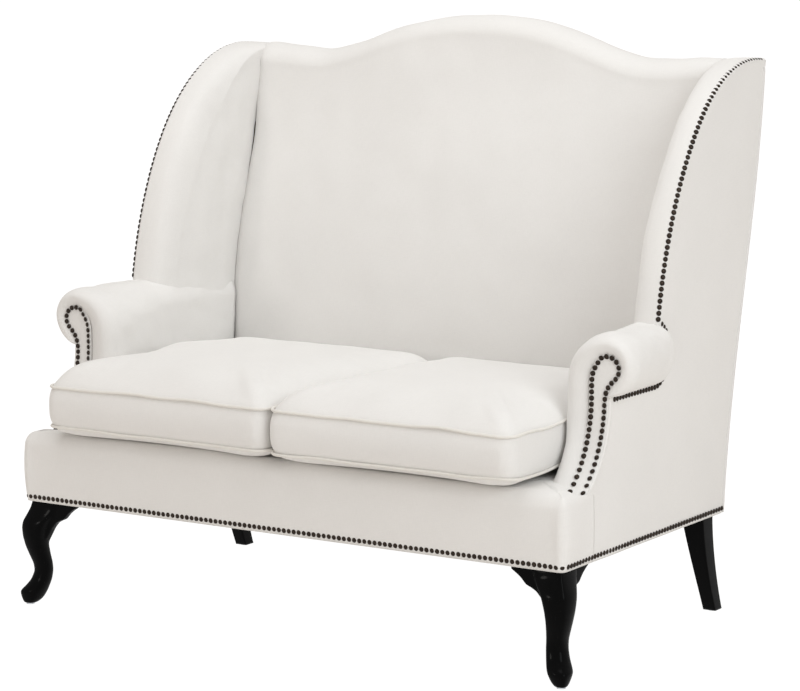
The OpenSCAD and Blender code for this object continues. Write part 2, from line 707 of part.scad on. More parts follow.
belly = [[70, 0], [45, 1.2], [20, 5.7]];
crown_insets = [16, 40, 80, 130, 190, 230];
crown_power_share = 2.4;
crown_base = welt_high_h + groove - welt_groove + welt_room;
function crown_z(d) = let (u = (d - groove) / (crown_insets[len(crown_insets) - 1] - groove))
    crown_base + (welt_high_h + crown_rise - crown_base) * (1 - pow(1 - u, crown_power_share));
welt_half = welt_d / 2 + welt_room;
box_edge = welt_half + box_round;
function cushion_profile() = concat(
    [for (b = belly) [b[0], seat_z + b[1]]],
    [[groove, welt_low_h - welt_half], [groove, welt_low_h + welt_half], [welt_groove, welt_low_h + box_edge],
     [0, (welt_low_h + welt_high_h) / 2],
     [welt_groove, welt_high_h - box_edge], [groove, welt_high_h - welt_half], [groove, crown_base]],
    [for (d = crown_insets) [d, crown_z(d)]]);
module seat_cushion(side) cloth() on_side(side)
    loft([for (p = cushion_profile()) level(p[1], cushion_outline(p[0]))]);

module cushion_welts(side) cloth() on_side(side)
    for (z = [welt_low_h, welt_high_h]) loop_tube(level(z, cushion_outline(welt_groove)), welt_d);

dust_room = 5;
module dust_cover() color([0.16, 0.15, 0.14])
    translate([0, 0, leg_h - dust_t]) linear_extrude(dust_t) difference() {
        let (x = half_w - block_inset - ear_t - dust_room, y = block_inset + ear_t + dust_room)
            area([-x, y], [x, back_leg_y - dust_room]);
        for (s = [-1, 1]) let (c = block_inset + block_w + dust_room)
            translate([s * (half_w - c / 2), c / 2]) square(c, center = true);
    }

// Nails: the domed heads stand on the cover, each turned to face outwards
module nail_head() rotate_extrude($fn = small_fn)
    intersection() {
        let (r = (nail_d * nail_d / 4 + nail_h * nail_h) / (2 * nail_h)) translate([0, nail_h - r])
            circle(r, $fn = 2 * round_fn);
        square([nail_d / 2, nail_h]);
    }
// Each place is a point and the way that its head faces
module nail_row(path) bronze()
    for (p = path) let (n = [p[3], p[4], p[5]] / norm([p[3], p[4], p[5]]))
        translate([p[0], p[1], p[2]]) rotate([0, acos(n[2]), atan2(n[1], n[0])]) nail_head();
// Nails that face sideways, from a chain of places seen from the side
function on_panel(ps) = [for (p = steps_along(ps, nail_pitch)) [half_w, p[0], p[1], 1, 0, 0]];

nail_z = leg_h + nail_edge;
front_nail_x = half_w - border_corner_r - nail_d / 2;
module front_nails() nail_row([
    for (p = steps_along([[-front_nail_x, nail_z], [front_nail_x, nail_z]], nail_pitch))
        [p[0], 0, p[1], 0, -1, 0]]);
module side_nails(side) on_side(side) nail_row(on_panel(
    [[border_corner_r + nail_d / 2, nail_z], [wing_rear_y(nail_z) - skin_t - nail_d, nail_z]]));

// The wing's nails stand on the flat of its outer corner
wing_nail_start = 0.012;
wing_nail_end = 0.985;
wing_nail_steps = 3 * wing_steps;
module wing_nails(side) on_side(side) nail_row(steps_along(
    [for (i = [0:wing_nail_steps])
        let (t = mix(wing_nail_start, wing_nail_end, i / wing_nail_steps),
             p = wing_inset(t, nail_flat / 2 - fit), s = wing_slope(t))
            [half_w - nail_flat / 2 + fit, p[0], p[1], 1, -s[1], s[0]]], nail_pitch));

underarm_out = nail_d / 2 + curve_gap;
underarm_turn = 62;
underarm_start = 18;
module underarm_nails(side) on_side(side) nail_row(on_panel(concat(
    [[arm_front_y + underarm_start, roll_z - roll_r - underarm_out]],
    [for (a = [-90:4:underarm_turn])
        [roll_end_y + (roll_end_d + underarm_out) * cos(a), roll_z + (roll_r + underarm_out) * sin(a)]])));

// Nails up the inner edge of the facing, round its scroll and down the outer edge
function arm_lean(z) = z >= sweep_z ? 0 : asin((sweep_z - z) / sweep_r);
module arm_nails(side) on_side(side)
    nail_row([
        for (p = steps_along([for (q = facing_chain(arm_nail_z0)) [q[0], arm_front(q[1]), q[1]]], nail_pitch))
        let (lean = arm_lean(p[2]), out = facing_t + (lean > 0 ? fit : 0), c = cos(lean), e = sin(lean))
            [p[0], arm_front(p[2]) - out * c, p[2] + out * e, 0, -c, e]]);

// Legs

// Sections of a front leg, foot to block, as shares: height of the bare leg, how far the middle
// lies inside the frame's corner, half depth and half width of the block's side, and squareness
front_leg_shares = [
    [0.000, 0.11, 0.21, 0.19, 2.0], [0.025, 0.17, 0.33, 0.28, 2.0], [0.070, 0.21, 0.42, 0.35, 2.0],
    [0.120, 0.24, 0.49, 0.42, 2.1], [0.160, 0.36, 0.43, 0.41, 2.1], [0.225, 0.51, 0.36, 0.38, 2.0],
    [0.310, 0.60, 0.32, 0.36, 2.0], [0.385, 0.57, 0.33, 0.36, 2.0], [0.460, 0.48, 0.36, 0.39, 2.0],
    [0.555, 0.38, 0.40, 0.43, 1.9], [0.650, 0.34, 0.45, 0.48, 1.8], [0.740, 0.40, 0.55, 0.55, 1.6],
    [0.800, 0.52, 0.63, 0.60, 1.45], [0.860, 0.74, 0.72, 0.66, 1.25], [0.930, 0.88, 0.72, 0.69, 1.1]];
leg_sides = 24;
function power(v, p) = sign(v) * pow(abs(v), 2 / p);
// One level section: s runs outwards through the corner of the frame and w across it
function leg_ring(z, inside, deep, wide, p) = [for (j = [0:leg_sides - 1])
    let (a = 360 * j / leg_sides, s = deep * power(cos(a), p) - inside, w = wide * power(sin(a), p))
        [half_w + (s + w) / sqrt(2), (w - s) / sqrt(2), z]];
leg_block_mid = (block_inset + block_w / 2) * sqrt(2);
module cabriole() loft(concat(
    [for (r = front_leg_shares)
        leg_ring(mix(glide_t, leg_h, r[0]), r[1] * block_w, r[2] * block_w, r[3] * block_w, r[4])],
    [leg_ring(leg_h, leg_block_mid, block_w / sqrt(2), block_w / sqrt(2), 1)]));

// Ears beside a front leg: a curved bracket under the rail, drawn with u along the rail
ear_h_share = 0.27;
ear_step_share = 0.03;
ear_power_share = 1.7;
ear_steps = 10;
ear_root = block_inset + block_w * 0.6;
ear_set = 4;
module ear_outline() polygon(concat([[ear_root, leg_h]],
    [for (i = [0:ear_steps]) let (t = i / ear_steps)
        [mix(ear_root, ear_l, t),
         leg_h * (1 - ear_step_share - (ear_h_share - ear_step_share) * pow(1 - t, ear_power_share))]],
    [[ear_l, leg_h]]));
module front_leg(side) ebony() on_side(side) difference() {
    union() {
        cabriole();
        translate([half_w, block_inset + ear_set + ear_t, 0]) rotate([90, 0, 0]) mirror([1, 0, 0])
            linear_extrude(ear_t) ear_outline();
        translate([half_w - block_inset - ear_set - ear_t, 0, 0]) rotate([90, 0, 90])
            linear_extrude(ear_t) ear_outline();
    }
    bolt_hole(front_bolt, [1]);
}

// A back leg: a square post that sweeps backwards to its foot
back_leg_steps = 9;
back_leg_power_share = 1.7;
function back_leg_ring(u) = let (d = mix(back_leg_top_d, back_leg_foot_d, u), w = mix(back_leg_foot_w,
        back_leg_top_w, pow(1 - u, back_leg_power_share)), x = half_w - back_leg_inset,
        m = back_leg_y + back_leg_top_d / 2 + back_leg_kick * pow(u, back_leg_power_share),
        z = mix(leg_h, glide_t, u))
    [[x - w, m - d / 2, z], [x, m - d / 2, z], [x, m + d / 2, z], [x - w, m + d / 2, z]];
module back_leg(side) ebony() on_side(side) difference() {
    loft([for (i = [back_leg_steps:-1:0]) back_leg_ring(i / back_leg_steps)]);
    bolt_hole(back_bolt, [1]);
}

module leg_bolts() steel()
    for (p = [front_bolt, back_bolt]) for (s = [-1, 1])
        translate([s * p[0], p[1], leg_h - bolt_l * bolt_up_share])
            cylinder(h = bolt_l, d = bolt_d, $fn = small_fn);

front_foot = [half_w - front_leg_shares[0][1] * block_w / sqrt(2),
              front_leg_shares[0][1] * block_w / sqrt(2)];
back_foot = [half_w - back_leg_inset - back_leg_foot_w / 2, back_leg_y + back_leg_top_d / 2 + back_leg_kick];
module leg_glides() steel()
    for (p = [front_foot, back_foot]) for (s = [-1, 1])
        translate([s * p[0], p[1], 0]) cylinder(h = glide_t, d = glide_d, $fn = round_fn);

placed() front_seat_rail();
placed() back_seat_rail();
placed() side_seat_rail(-1);  // side_seat_rail_left
placed() side_seat_rail(1);  // side_seat_rail_right
placed() centre_seat_brace();
placed() corner_blocks();
placed() arm_post(-1);  // arm_post_left
placed() arm_post(1);  // arm_post_right
placed() arm_top_rail(-1);  // arm_top_rail_left
placed() arm_top_rail(1);  // arm_top_rail_right
placed() back_post(-1);  // back_post_left
placed() back_post(1);  // back_post_right
placed() wing_frame(-1);  // wing_frame_left
placed() wing_frame(1);  // wing_frame_right
placed() top_back_rail();
placed() lower_back_rail();
placed() back_slat();
placed() seat_springs();
placed() spring_clips();
placed() seat_hessian();
placed() back_webbing();
placed() seat_deck_pad();
placed() front_border();
placed() inside_back();
placed() outside_back();
placed() inside_arm(-1);  // inside_arm_left
placed() inside_arm(1);  // inside_arm_right
placed() arm_facing(-1);  // arm_facing_left
placed() arm_facing(1);  // arm_facing_right
placed() inside_wing(-1);  // inside_wing_left
placed() inside_wing(1);  // inside_wing_right
placed() side_panel(-1);  // side_panel_left
placed() side_panel(1);  // side_panel_right
placed() dust_cover();
placed() seat_cushion(-1);  // seat_cushion_left
placed() seat_cushion(1);  // seat_cushion_right
placed() cushion_welts(-1);  // cushion_welts_left
placed() cushion_welts(1);  // cushion_welts_right
placed() front_nails();
placed() side_nails(-1);  // side_nails_left
placed() side_nails(1);  // side_nails_right
placed() wing_nails(-1);  // wing_nails_left
placed() wing_nails(1);  // wing_nails_right
placed() arm_nails(-1);  // arm_nails_left
placed() arm_nails(1);  // arm_nails_right
placed() underarm_nails(-1);  // underarm_nails_left
placed() underarm_nails(1);  // underarm_nails_right
placed() front_leg(-1);  // front_leg_left
placed() front_leg(1);  // front_leg_right
placed() back_leg(-1);  // back_leg_left
placed() back_leg(1);  // back_leg_right
placed() leg_bolts();
placed() leg_glides();
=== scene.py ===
"""Looks of a high back wing settee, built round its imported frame.

Lengths are metres. Surfaces are worked out with y measured from the face of the front rail, and
build() moves them into the frame's own place. Left and right are as seen from in front."""
import json
import math

import bpy
import numpy as np
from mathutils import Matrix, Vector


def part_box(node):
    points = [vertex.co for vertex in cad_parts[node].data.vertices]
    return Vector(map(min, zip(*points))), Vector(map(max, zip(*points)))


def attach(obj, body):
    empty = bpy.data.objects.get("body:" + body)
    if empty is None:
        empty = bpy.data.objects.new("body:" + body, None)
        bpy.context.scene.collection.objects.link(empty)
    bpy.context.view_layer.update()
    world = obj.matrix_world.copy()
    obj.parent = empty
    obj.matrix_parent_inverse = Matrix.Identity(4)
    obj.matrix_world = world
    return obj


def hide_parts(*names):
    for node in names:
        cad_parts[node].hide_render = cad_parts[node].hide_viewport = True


bl_info = {
    "name": "High back settee",
    "version": (1, 0, 0),
    "blender": (4, 5, 0),
    "location": "3D View > Sidebar > Settee",
    "description": "Upholstery, nails, legs, stage and light of a high back wing settee",
    "category": "Object",
}

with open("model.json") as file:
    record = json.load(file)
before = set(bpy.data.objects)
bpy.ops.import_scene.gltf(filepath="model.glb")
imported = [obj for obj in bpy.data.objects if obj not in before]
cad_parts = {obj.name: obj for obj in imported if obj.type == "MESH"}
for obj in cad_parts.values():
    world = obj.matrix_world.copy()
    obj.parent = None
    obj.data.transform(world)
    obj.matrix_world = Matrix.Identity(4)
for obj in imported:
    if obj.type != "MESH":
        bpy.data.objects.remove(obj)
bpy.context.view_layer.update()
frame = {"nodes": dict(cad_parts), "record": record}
BORDER_LO, BORDER_HI = (np.array(corner, dtype=float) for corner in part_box("front_border"))
ARM_LO, ARM_HI = (np.array(corner, dtype=float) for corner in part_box("inside_arm_right"))
WING_LO, WING_HI = (np.array(corner, dtype=float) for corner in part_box("inside_wing_right"))
SEAT_LO, SEAT_HI = (np.array(corner, dtype=float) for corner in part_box("seat_cushion_right"))
RAIL_Y = float(BORDER_LO[1])
SIDES = {"left": -1, "right": 1}
# Gap that keeps two covers apart
GAP = 0.0006
# From a side panel's face to where the covers beside it end inside it
PANEL_DEPTH = 0.0125


def length(name, text, value):
    """A size in metres that the panel shows."""
    return bpy.props.FloatProperty(name=name, description=text, default=float(value), unit="LENGTH",
                                   precision=4)


def share(name, text, value):
    """A number without a unit that the panel shows."""
    return bpy.props.FloatProperty(name=name, description=text, default=float(value), precision=3)


def tint(name, text, value):
    """A linear colour that the panel shows."""
    return bpy.props.FloatVectorProperty(name=name, description=text, default=value, subtype="COLOR",
                                         size=3, min=0.0, max=1.0)


class SetteeSizes(bpy.types.PropertyGroup):
    """Sizes of the settee's forms"""
    half_w: length("Half width", "Middle to the outer face of a side panel", BORDER_HI[0])
    leg_h: length("Leg height", "Floor to the underside of the frame", BORDER_LO[2])
    rail_top: length("Rail top", "Height of the padded front rail's top", BORDER_HI[2])
    border_d: length("Border depth", "Depth of the padded border", BORDER_HI[1] - BORDER_LO[1])
    border_front_r: length("Border front radius", "Radius of the border's top front edge", 0.033)
    border_side_r: length("Border side radius", "Radius of the border's top side edges", 0.026)
    border_corner_r: length("Border corner radius", "Radius of the border's upright corners", 0.014)
    base_d: length("Base depth", "Front rail's face to the foot of the back", 0.692)
    back_rake: length("Back rake", "How far the top of the back leans behind its foot", 0.163)
    wing_top: length("Wing top", "Height of the wings", 1.170)
    shoulder_h: length("Shoulder height", "Height of the back beside its hump", 1.163)
    hump_rise: length("Hump rise", "Rise of the camel hump", 0.085)
    hump_half_w: length("Hump half width", "Middle of the back to the end of its hump", 0.430)
    seat_back_y: length("Seat depth", "Rail's face to the foot of the inside back's face", 0.648)
    back_lean: length("Back lean", "How far the inside back's face leans", 0.125)
    back_crown: length("Back crown", "Crown of the inside back", 0.020)
    lean_low: length("Lean start", "Height at which the inside back starts to lean", 0.530)
    lean_high: length("Lean end", "Height at which the lean ends", 1.226)
    arm_h: length("Arm height", "Height of the arms", ARM_HI[2])
    arm_foot: length("Arm foot", "Height at which an arm's cover ends, sunk in the border", 0.352)
    foot_dip: length("Foot dip", "How far the border's top drops under an arm's foot", 0.015)
    arm_in: length("Arm inside", "Middle to the inner face of an arm", ARM_LO[0])
    roll_r: length("Roll radius", "Radius of an arm's roll", 0.060)
    roll_end_w: length("Roll end", "Half width of the roll where its end begins", 0.040)
    roll_end_y: length("Roll end place", "Rail's face to where the roll's end begins", 0.366)
    roll_end_d: length("Roll end depth", "Depth over which the roll's end closes", 0.055)
    roll_out: length("Roll overhang", "How far the roll stands outside the panel", ARM_HI[0] - BORDER_HI[0])
    shoulder_front: length("Front shoulder", "Rounding of an arm's top at its front", 0.097)
    shoulder_back: length("Back shoulder", "Rounding of an arm's top beside the wing", 0.058)
    arm_belly: length("Arm belly", "Swell of an arm's inner face behind its front", 0.010)
    scroll_r: length("Scroll radius", "Radius of the nail line round an arm's scroll", 0.0255)
    scroll_drop: length("Scroll drop", "Middle of the roll to the middle of the scroll", 0.005)
    inner_nail_x: length("Inner nails", "Middle to the inner column of nails", 0.622)
    outer_nail_x: length("Outer nails", "Middle to the outer column of nails", 0.6505)
    facing_edge: length("Facing edge", "Nail line to the edge of an arm's facing", 0.007)
    face_valley: length("Facing valley", "Padding under the nails of an arm's front", 0.0008)
    face_bulge: length("Front bulge", "How far the padding swells beside the nails", 0.009)
    bead_out: length("Panel bead", "How far a side panel's front edge swells forwards", 0.003)
    panel_step: length("Panel step", "Height over which a side panel reaches the back's face", 1.152)
    underarm_gap: length("Underarm gap", "Roll to the row of nails under it", 0.0063)
    nail_tilt: share("Nail tilt", "How far an arm's nails turn to the middle of its facing", 0.42)
    arm_front_y: length("Arm front", "Rail's face to the arm's front", 0.181)
    arm_round: length("Arm front radius", "Radius of the arm's padded front edge", 0.020)
    sweep_r: length("Sweep radius", "Radius of the forward sweep of the arm's foot", 0.218)
    sweep_z: length("Sweep start", "Height at which the sweep begins", 0.538)
    wing_in: length("Wing inside", "Middle to the inner face of a wing", WING_LO[0])
    wing_front_y: length("Wing front", "Rail's face to the foot of a wing's front edge", 0.380)
    wing_back_y: length("Wing back", "Rail's face to the back end of a wing's top", 0.850)
    wing_edge_w: length("Wing edge", "Width of the rounding of a wing's inner edge", 0.060)
    wing_pillow: length("Wing pillow", "Swell of a wing's inner face", 0.008)
    welt_low: length("Low welt", "Height of the lower welt", 0.400)
    welt_high: length("High welt", "Height of the upper welt", 0.486)
    crown_rise: length("Cushion crown", "Rise of a cushion over its upper welt", 0.060)
    cushion_corner_r: length("Cushion corner", "Radius of a cushion's corners", 0.029)
    cushion_skew: length("Cushion skew", "How far the fronts of both cushions have slid to the left", 0.012)
    cushion_swell: length("Cushion swell", "Furthest that a cushion's filling pushes its cloth", 0.022)
    welt_r: length("Welt radius", "Radius of the sewn welts", 0.0031)
    nail_r: length("Nail radius", "Radius of a nail head", 0.0054)
    nail_h: length("Nail height", "Height of a nail head", 0.0030)
    nail_pitch: length("Nail pitch", "Distance from nail to nail", 0.0122)
    block_w: length("Leg block", "Side of the block at the top of a front leg", 0.062)
    block_inset: length("Block inset", "Block to the corner of the frame", 0.010)
    glide_t: length("Glide thickness", "Thickness of the glide under a foot", 0.0025)
    render_levels: bpy.props.IntProperty(name="Subdivision", description="Subdivision of the cushions",
                                         default=1, min=0, max=2)


class SetteeColours(bpy.types.PropertyGroup):
    """Colours of the settee's finishes"""
    ivory: tint("Ivory cloth", "Colour of the upholstery cloth", (0.80, 0.789, 0.771))
    welt: tint("Welt cloth", "Colour of the welts", (0.78, 0.758, 0.715))
    lacquer: tint("Black lacquer", "Colour of the legs", (0.0010, 0.0010, 0.0010))
    nail: tint("Nail bronze", "Colour of the nail heads", (0.026, 0.018, 0.013))
    timber: tint("Frame timber", "Colour of the hidden frame", (0.46, 0.29, 0.15))
    jute: tint("Jute", "Colour of the hessian and webbing", (0.36, 0.24, 0.12))
    steel: tint("Steel", "Colour of springs, bolts and glides", (0.50, 0.51, 0.53))
    dust: tint("Dust cloth", "Colour of the cloth under the seat", (0.020, 0.020, 0.021))


def sizes():
    """The settee's sizes."""
    return bpy.context.scene.settee_sizes


def colours():
    """The settee's colours."""
    return bpy.context.scene.settee_colours


# Curves that the forms share

# Fullness of the camel hump, rise from its ends to the wings, and share of the S in the back's line
HUMP_POWER = 1.35
SHOULDER_RISE = 0.007
BACK_S_SHARE = 0.65
# Control points of a wing's front edge, as shares of its depth and height
WING_SHARES = np.array([[0.0, 0.0], [0.084, 0.507], [0.423, 1.066], [1.0, 1.0]])


def smooth(t):
    """Smooth step from 0 to 1."""
    t = np.clip(t, 0.0, 1.0)
    return t * t * (3.0 - 2.0 * t)


def mix(a, b, t):
    """Straight mix from a to b."""
    return a + (b - a) * t


def xyz(x, y, z):
    """Points from their three coordinates, spread to one shape."""
    return np.stack(np.broadcast_arrays(x, y, z), -1)


def rounded(reach, radius):
    """Rise of a rounded edge as a share: a quarter circle over its radius, then level."""
    return np.sqrt(np.clip(1 - (1 - np.clip(reach / radius, 0, 1)) ** 2, 0, 1))


def squarish(angle, power):
    """Cosine and sine, each raised to a power with its sign kept: a superellipse."""
    c, s = np.cos(angle), np.sin(angle)
    return np.sign(c) * np.abs(c) ** power, np.sign(s) * np.abs(s) ** power


def crest(x):
    """Height of the back's top edge: level shoulders, a smooth hump and a slight rise to the wings."""
    s = sizes()
    a = np.abs(x)
    hump = s.hump_rise * smooth(1.0 - (a / s.hump_half_w) ** HUMP_POWER)
    return s.shoulder_h + hump + SHOULDER_RISE * smooth((a - s.hump_half_w) / (s.wing_in - s.hump_half_w))


def rear_y(z):
    """Line of the back's outer face: a soft S that leans back."""
    s = sizes()
    t = (z - s.leg_h) / (s.wing_top - s.leg_h)
    return s.base_d + s.back_rake * mix(t, smooth(t), BACK_S_SHARE)


def inside_y(z):
    """Line of the inside back's face: upright behind the cushions, then leaning back."""
    s = sizes()
    return s.seat_back_y + s.back_lean * smooth((z - s.lean_low) / (s.lean_high - s.lean_low))


def arm_front(z):
    """Place of an arm's front face: upright above, a circular sweep forwards below."""
    s = sizes()
    drop = np.clip(s.sweep_z - z, 0.0, s.sweep_r)
    return s.arm_front_y - s.sweep_r + np.sqrt(s.sweep_r ** 2 - drop ** 2)


def wing_edge(d, t):
    """Front edge of a wing at t, moved inwards by d: a cubic curve and its normal, as y and z."""
    s = sizes()
    foot = np.array([s.wing_front_y, s.arm_h])
    c = foot + WING_SHARES * (np.array([s.wing_back_y, s.wing_top]) - foot)
    t = np.asarray(t, dtype=float)[..., None]
    u = 1.0 - t
    point = u ** 3 * c[0] + 3 * u * u * t * c[1] + 3 * u * t * t * c[2] + t ** 3 * c[3]
    slope = u * u * (c[1] - c[0]) + 2 * u * t * (c[2] - c[1]) + t * t * (c[3] - c[2])
    slope = slope / np.linalg.norm(slope, axis=-1, keepdims=True)
    normal = np.stack([slope[..., 1], -slope[..., 0]], -1)
    return point + np.asarray(d)[..., None] * normal


def along(path, pitch):
    """Points at equal steps of about the pitch along a chain of points."""
    path = np.asarray(path, dtype=float)
    mark = np.concatenate([[0.0], np.cumsum(np.linalg.norm(np.diff(path, axis=0), axis=1))])
    where = np.linspace(0.0, mark[-1], int(round(mark[-1] / pitch)) + 1)
    return np.stack([np.interp(where, mark, path[:, k]) for k in range(path.shape[1])], -1)


def refine(path, count):
    """A smooth curve through the points: cubic Hermite pieces with slopes from the neighbours,
    at equal steps of the summed chord."""
    path = np.asarray(path, dtype=float)
    chord = np.linalg.norm(np.diff(path, axis=0), axis=1)
    mark = np.concatenate([[0.0], np.cumsum(np.maximum(chord, 1e-9))])
    slope = np.gradient(path, mark, axis=0)
    where = np.linspace(0.0, mark[-1], count)
    k = np.clip(np.searchsorted(mark, where, side="right") - 1, 0, len(mark) - 2)
    h = (mark[k + 1] - mark[k])[:, None]
    t = ((where - mark[k])[:, None]) / h
    return ((2 * t ** 3 - 3 * t ** 2 + 1) * path[k] + (t ** 3 - 2 * t ** 2 + t) * h * slope[k]
            + (3 * t ** 2 - 2 * t ** 3) * path[k + 1] + (t ** 3 - t ** 2) * h * slope[k + 1])


def waves(points, size, seed, count=24):
    """A smooth random field of about unit height: a sum of plane waves of about the given size."""
    rng = np.random.RandomState(seed)
    way = rng.normal(size=(count, 3))
    way *= (2 * np.pi / size * rng.uniform(0.6, 1.4, size=(count, 1))) / np.linalg.norm(way, axis=1)[:, None]
    phase = rng.uniform(0, 2 * np.pi, count)
    return np.cos(points @ way.T + phase).sum(-1) / math.sqrt(count / 2)


# Meshes


def signed_volume(points, faces):
    """Volume inside the faces, negative if they point inwards: a sum of tetrahedra to the middle."""
    p = points - points.mean(0)
    a, b, c, d = (p[faces[:, k]] for k in range(4))
    return (np.einsum("ij,ij->i", a, np.cross(b, c)) + np.einsum("ij,ij->i", a, np.cross(c, d))).sum() / 6


def grid_faces(nu, nv, loop_u, loop_v, caps):
    """Quads of a grid, closed on itself along u or v, with strips over its first and last rows."""
    index = np.arange(nu * nv).reshape(nu, nv)
    wide = np.concatenate([index, index[:, :1]], 1) if loop_v else index
    tall = np.concatenate([wide, wide[:1]], 0) if loop_u else wide
    faces = np.stack([tall[:-1, :-1], tall[1:, :-1], tall[1:, 1:], tall[:-1, 1:]], -1).reshape(-1, 4)
    if not caps:
        return faces, tall.shape
    j = np.arange(nv // 2 - 1)
    first = np.stack([index[0, j], index[0, j + 1], index[0, nv - 2 - j], index[0, nv - 1 - j]], -1)
    last = np.stack([index[-1, nv - 1 - j], index[-1, nv - 2 - j], index[-1, j + 1], index[-1, j]], -1)
    return np.concatenate([faces, first, last]), tall.shape


def lengths(grid, axis):
    """Distance along one axis of a grid, from its start."""
    step = np.linalg.norm(np.diff(grid, axis=axis), axis=-1)
    zero = np.zeros_like(np.take(step, [0], axis=axis))
    return np.concatenate([zero, np.cumsum(step, axis=axis)], axis=axis)


def quad_mesh(name, points, faces):
    """A smooth mesh from arrays of its points and its quads."""
    mesh = bpy.data.meshes.new(name)
    mesh.vertices.add(len(points))
    mesh.vertices.foreach_set("co", points.ravel())
    mesh.loops.add(faces.size)
    mesh.loops.foreach_set("vertex_index", faces.ravel().astype(np.int32))
    mesh.polygons.add(len(faces))
    mesh.polygons.foreach_set("loop_start", np.arange(0, faces.size, 4, dtype=np.int32))
    mesh.update(calc_edges=True)
    mesh.shade_smooth()
    return mesh


def placed(name, mesh, finish):
    """A new object of the scene with a mesh and its finish."""
    mesh.materials.append(finish)
    piece = bpy.data.objects.new(name, mesh)
    bpy.context.scene.collection.objects.link(piece)
    return piece


def build(name, grid, finish, loop_u=False, loop_v=False, caps=False):
    """A smooth mesh object from a grid of points, with a UV map in metres along its two ways."""
    grid = np.asarray(grid, dtype=float)
    nu, nv = grid.shape[:2]
    faces, (tu, tv) = grid_faces(nu, nv, loop_u, loop_v, caps)
    points = grid.reshape(-1, 3) + [0.0, RAIL_Y, 0.0]
    wide = np.concatenate([grid, grid[:, :1]], 1) if loop_v else grid
    wide = np.concatenate([wide, wide[:1]], 0) if loop_u else wide
    u = np.broadcast_to(lengths(wide, 0).mean(1, keepdims=True), (tu, tv))
    v = lengths(wide, 1)
    uv = np.stack([u, v - v[:, tv // 2][:, None]], -1)
    cells = [uv[:-1, :-1], uv[1:, :-1], uv[1:, 1:], uv[:-1, 1:]]
    corner_uv = np.stack(cells, 2).reshape(-1, 4, 2)
    if caps:
        extra = faces[len(corner_uv):]
        corner_uv = np.concatenate([corner_uv, points[extra][..., [0, 2]]])
    if signed_volume(points, faces) < 0:
        faces = faces[:, ::-1]
        corner_uv = corner_uv[:, ::-1]
    mesh = quad_mesh(name, points, faces)
    mesh.uv_layers.new(name="cloth").data.foreach_set("uv", corner_uv.ravel())
    return placed(name, mesh, finish)


def normals(grid, loop_v=False):
    """Unit normals of a grid, turned to point away from its middle line as a closed form."""
    du = np.gradient(grid, axis=0)
    dv = (np.roll(grid, -1, 1) - np.roll(grid, 1, 1)) if loop_v else np.gradient(grid, axis=1)
    n = np.cross(du, dv)
    n /= np.maximum(np.linalg.norm(n, axis=-1, keepdims=True), 1e-12)
    faces, _ = grid_faces(grid.shape[0], grid.shape[1], False, loop_v, False)
    return n * (1.0 if signed_volume(grid.reshape(-1, 3), faces) > 0 else -1.0)


def swell(grid, height, loop_v=False):
    """The grid moved out along its normals by a height at each point."""
    return grid + normals(grid, loop_v) * np.asarray(height)[..., None]


def mirrored(grid, side):
    """The grid on the side given: the right side is the one that is worked out."""
    return grid * [side, 1.0, 1.0]


def dress(piece, body, slot, *nodes, fill=None):
    """Puts a piece on its body and in the place of its nodes; the slot given is not used."""
    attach(piece, body)
    if nodes:
        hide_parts(*nodes)
    return piece


def cover(name, grid, slot, node, fill):
    """Builds a closed padded cover of the settee and dresses it."""
    dress(build(name, grid, finish(slot), loop_v=True, caps=True), "settee", slot, node, fill=fill)


# Finishes


class Nodes:
    """A short way to write a material's nodes."""

    def __init__(self, name):
        """A new material, with its tree and its shader at hand."""
        self.material = bpy.data.materials.new(name)
        self.material.use_nodes = True
        self.tree = self.material.node_tree
        self.shader = self.tree.nodes["Principled BSDF"]

    def add(self, kind, **settings):
        """A new node, with named settings as attributes and in_NAME as input values or links."""
        node = self.tree.nodes.new(kind)
        for key, value in settings.items():
            if key.startswith("in_"):
                self.feed(node, key[3:].replace("_", " "), value)
            else:
                setattr(node, key, value)
        return node

    def feed(self, node, key, value):
        """Sets or links an input, named or numbered."""
        socket = node.inputs[int(key)] if key.isdigit() else node.inputs[key]
        if isinstance(value, bpy.types.NodeSocket):
            self.tree.links.new(value, socket)
        else:
            socket.default_value = value

    def math(self, operation, a, b=0.0):
        """One Math node's result."""
        return self.add("ShaderNodeMath", operation=operation, in_0=a, in_1=b).outputs[0]

    def noise(self, vector, scale, detail=3.0, roughness=0.55):
        """Noise of a scale at a vector, from 0 to 1."""
        node = self.add("ShaderNodeTexNoise", in_Vector=vector, in_Scale=scale, in_Detail=detail,
                        in_Roughness=roughness)
        return node.outputs["Fac"]

    def ramp(self, value, low, high, start=0.0, end=1.0):
        """A colour between two, by a value between start and end."""
        node = self.add("ShaderNodeValToRGB", in_Fac=value)
        node.color_ramp.elements[0].position = start
        node.color_ramp.elements[1].position = end
        node.color_ramp.elements[0].color = (*low, 1.0)
        node.color_ramp.elements[1].color = (*high, 1.0)
        return node.outputs["Color"]

    def bump(self, height, strength, distance):
        """A bump from a height."""
        node = self.add("ShaderNodeBump", in_Height=height, in_Strength=strength, in_Distance=distance)
        return node.outputs["Normal"]

    def set(self, **values):
        """Values of the shader's own sockets."""
        for key, value in values.items():
            self.feed(self.shader, key.replace("_", " "), value)


def shade(colour, factor):
    """A colour made darker or lighter."""
    return tuple(min(1.0, c * factor) for c in colour)


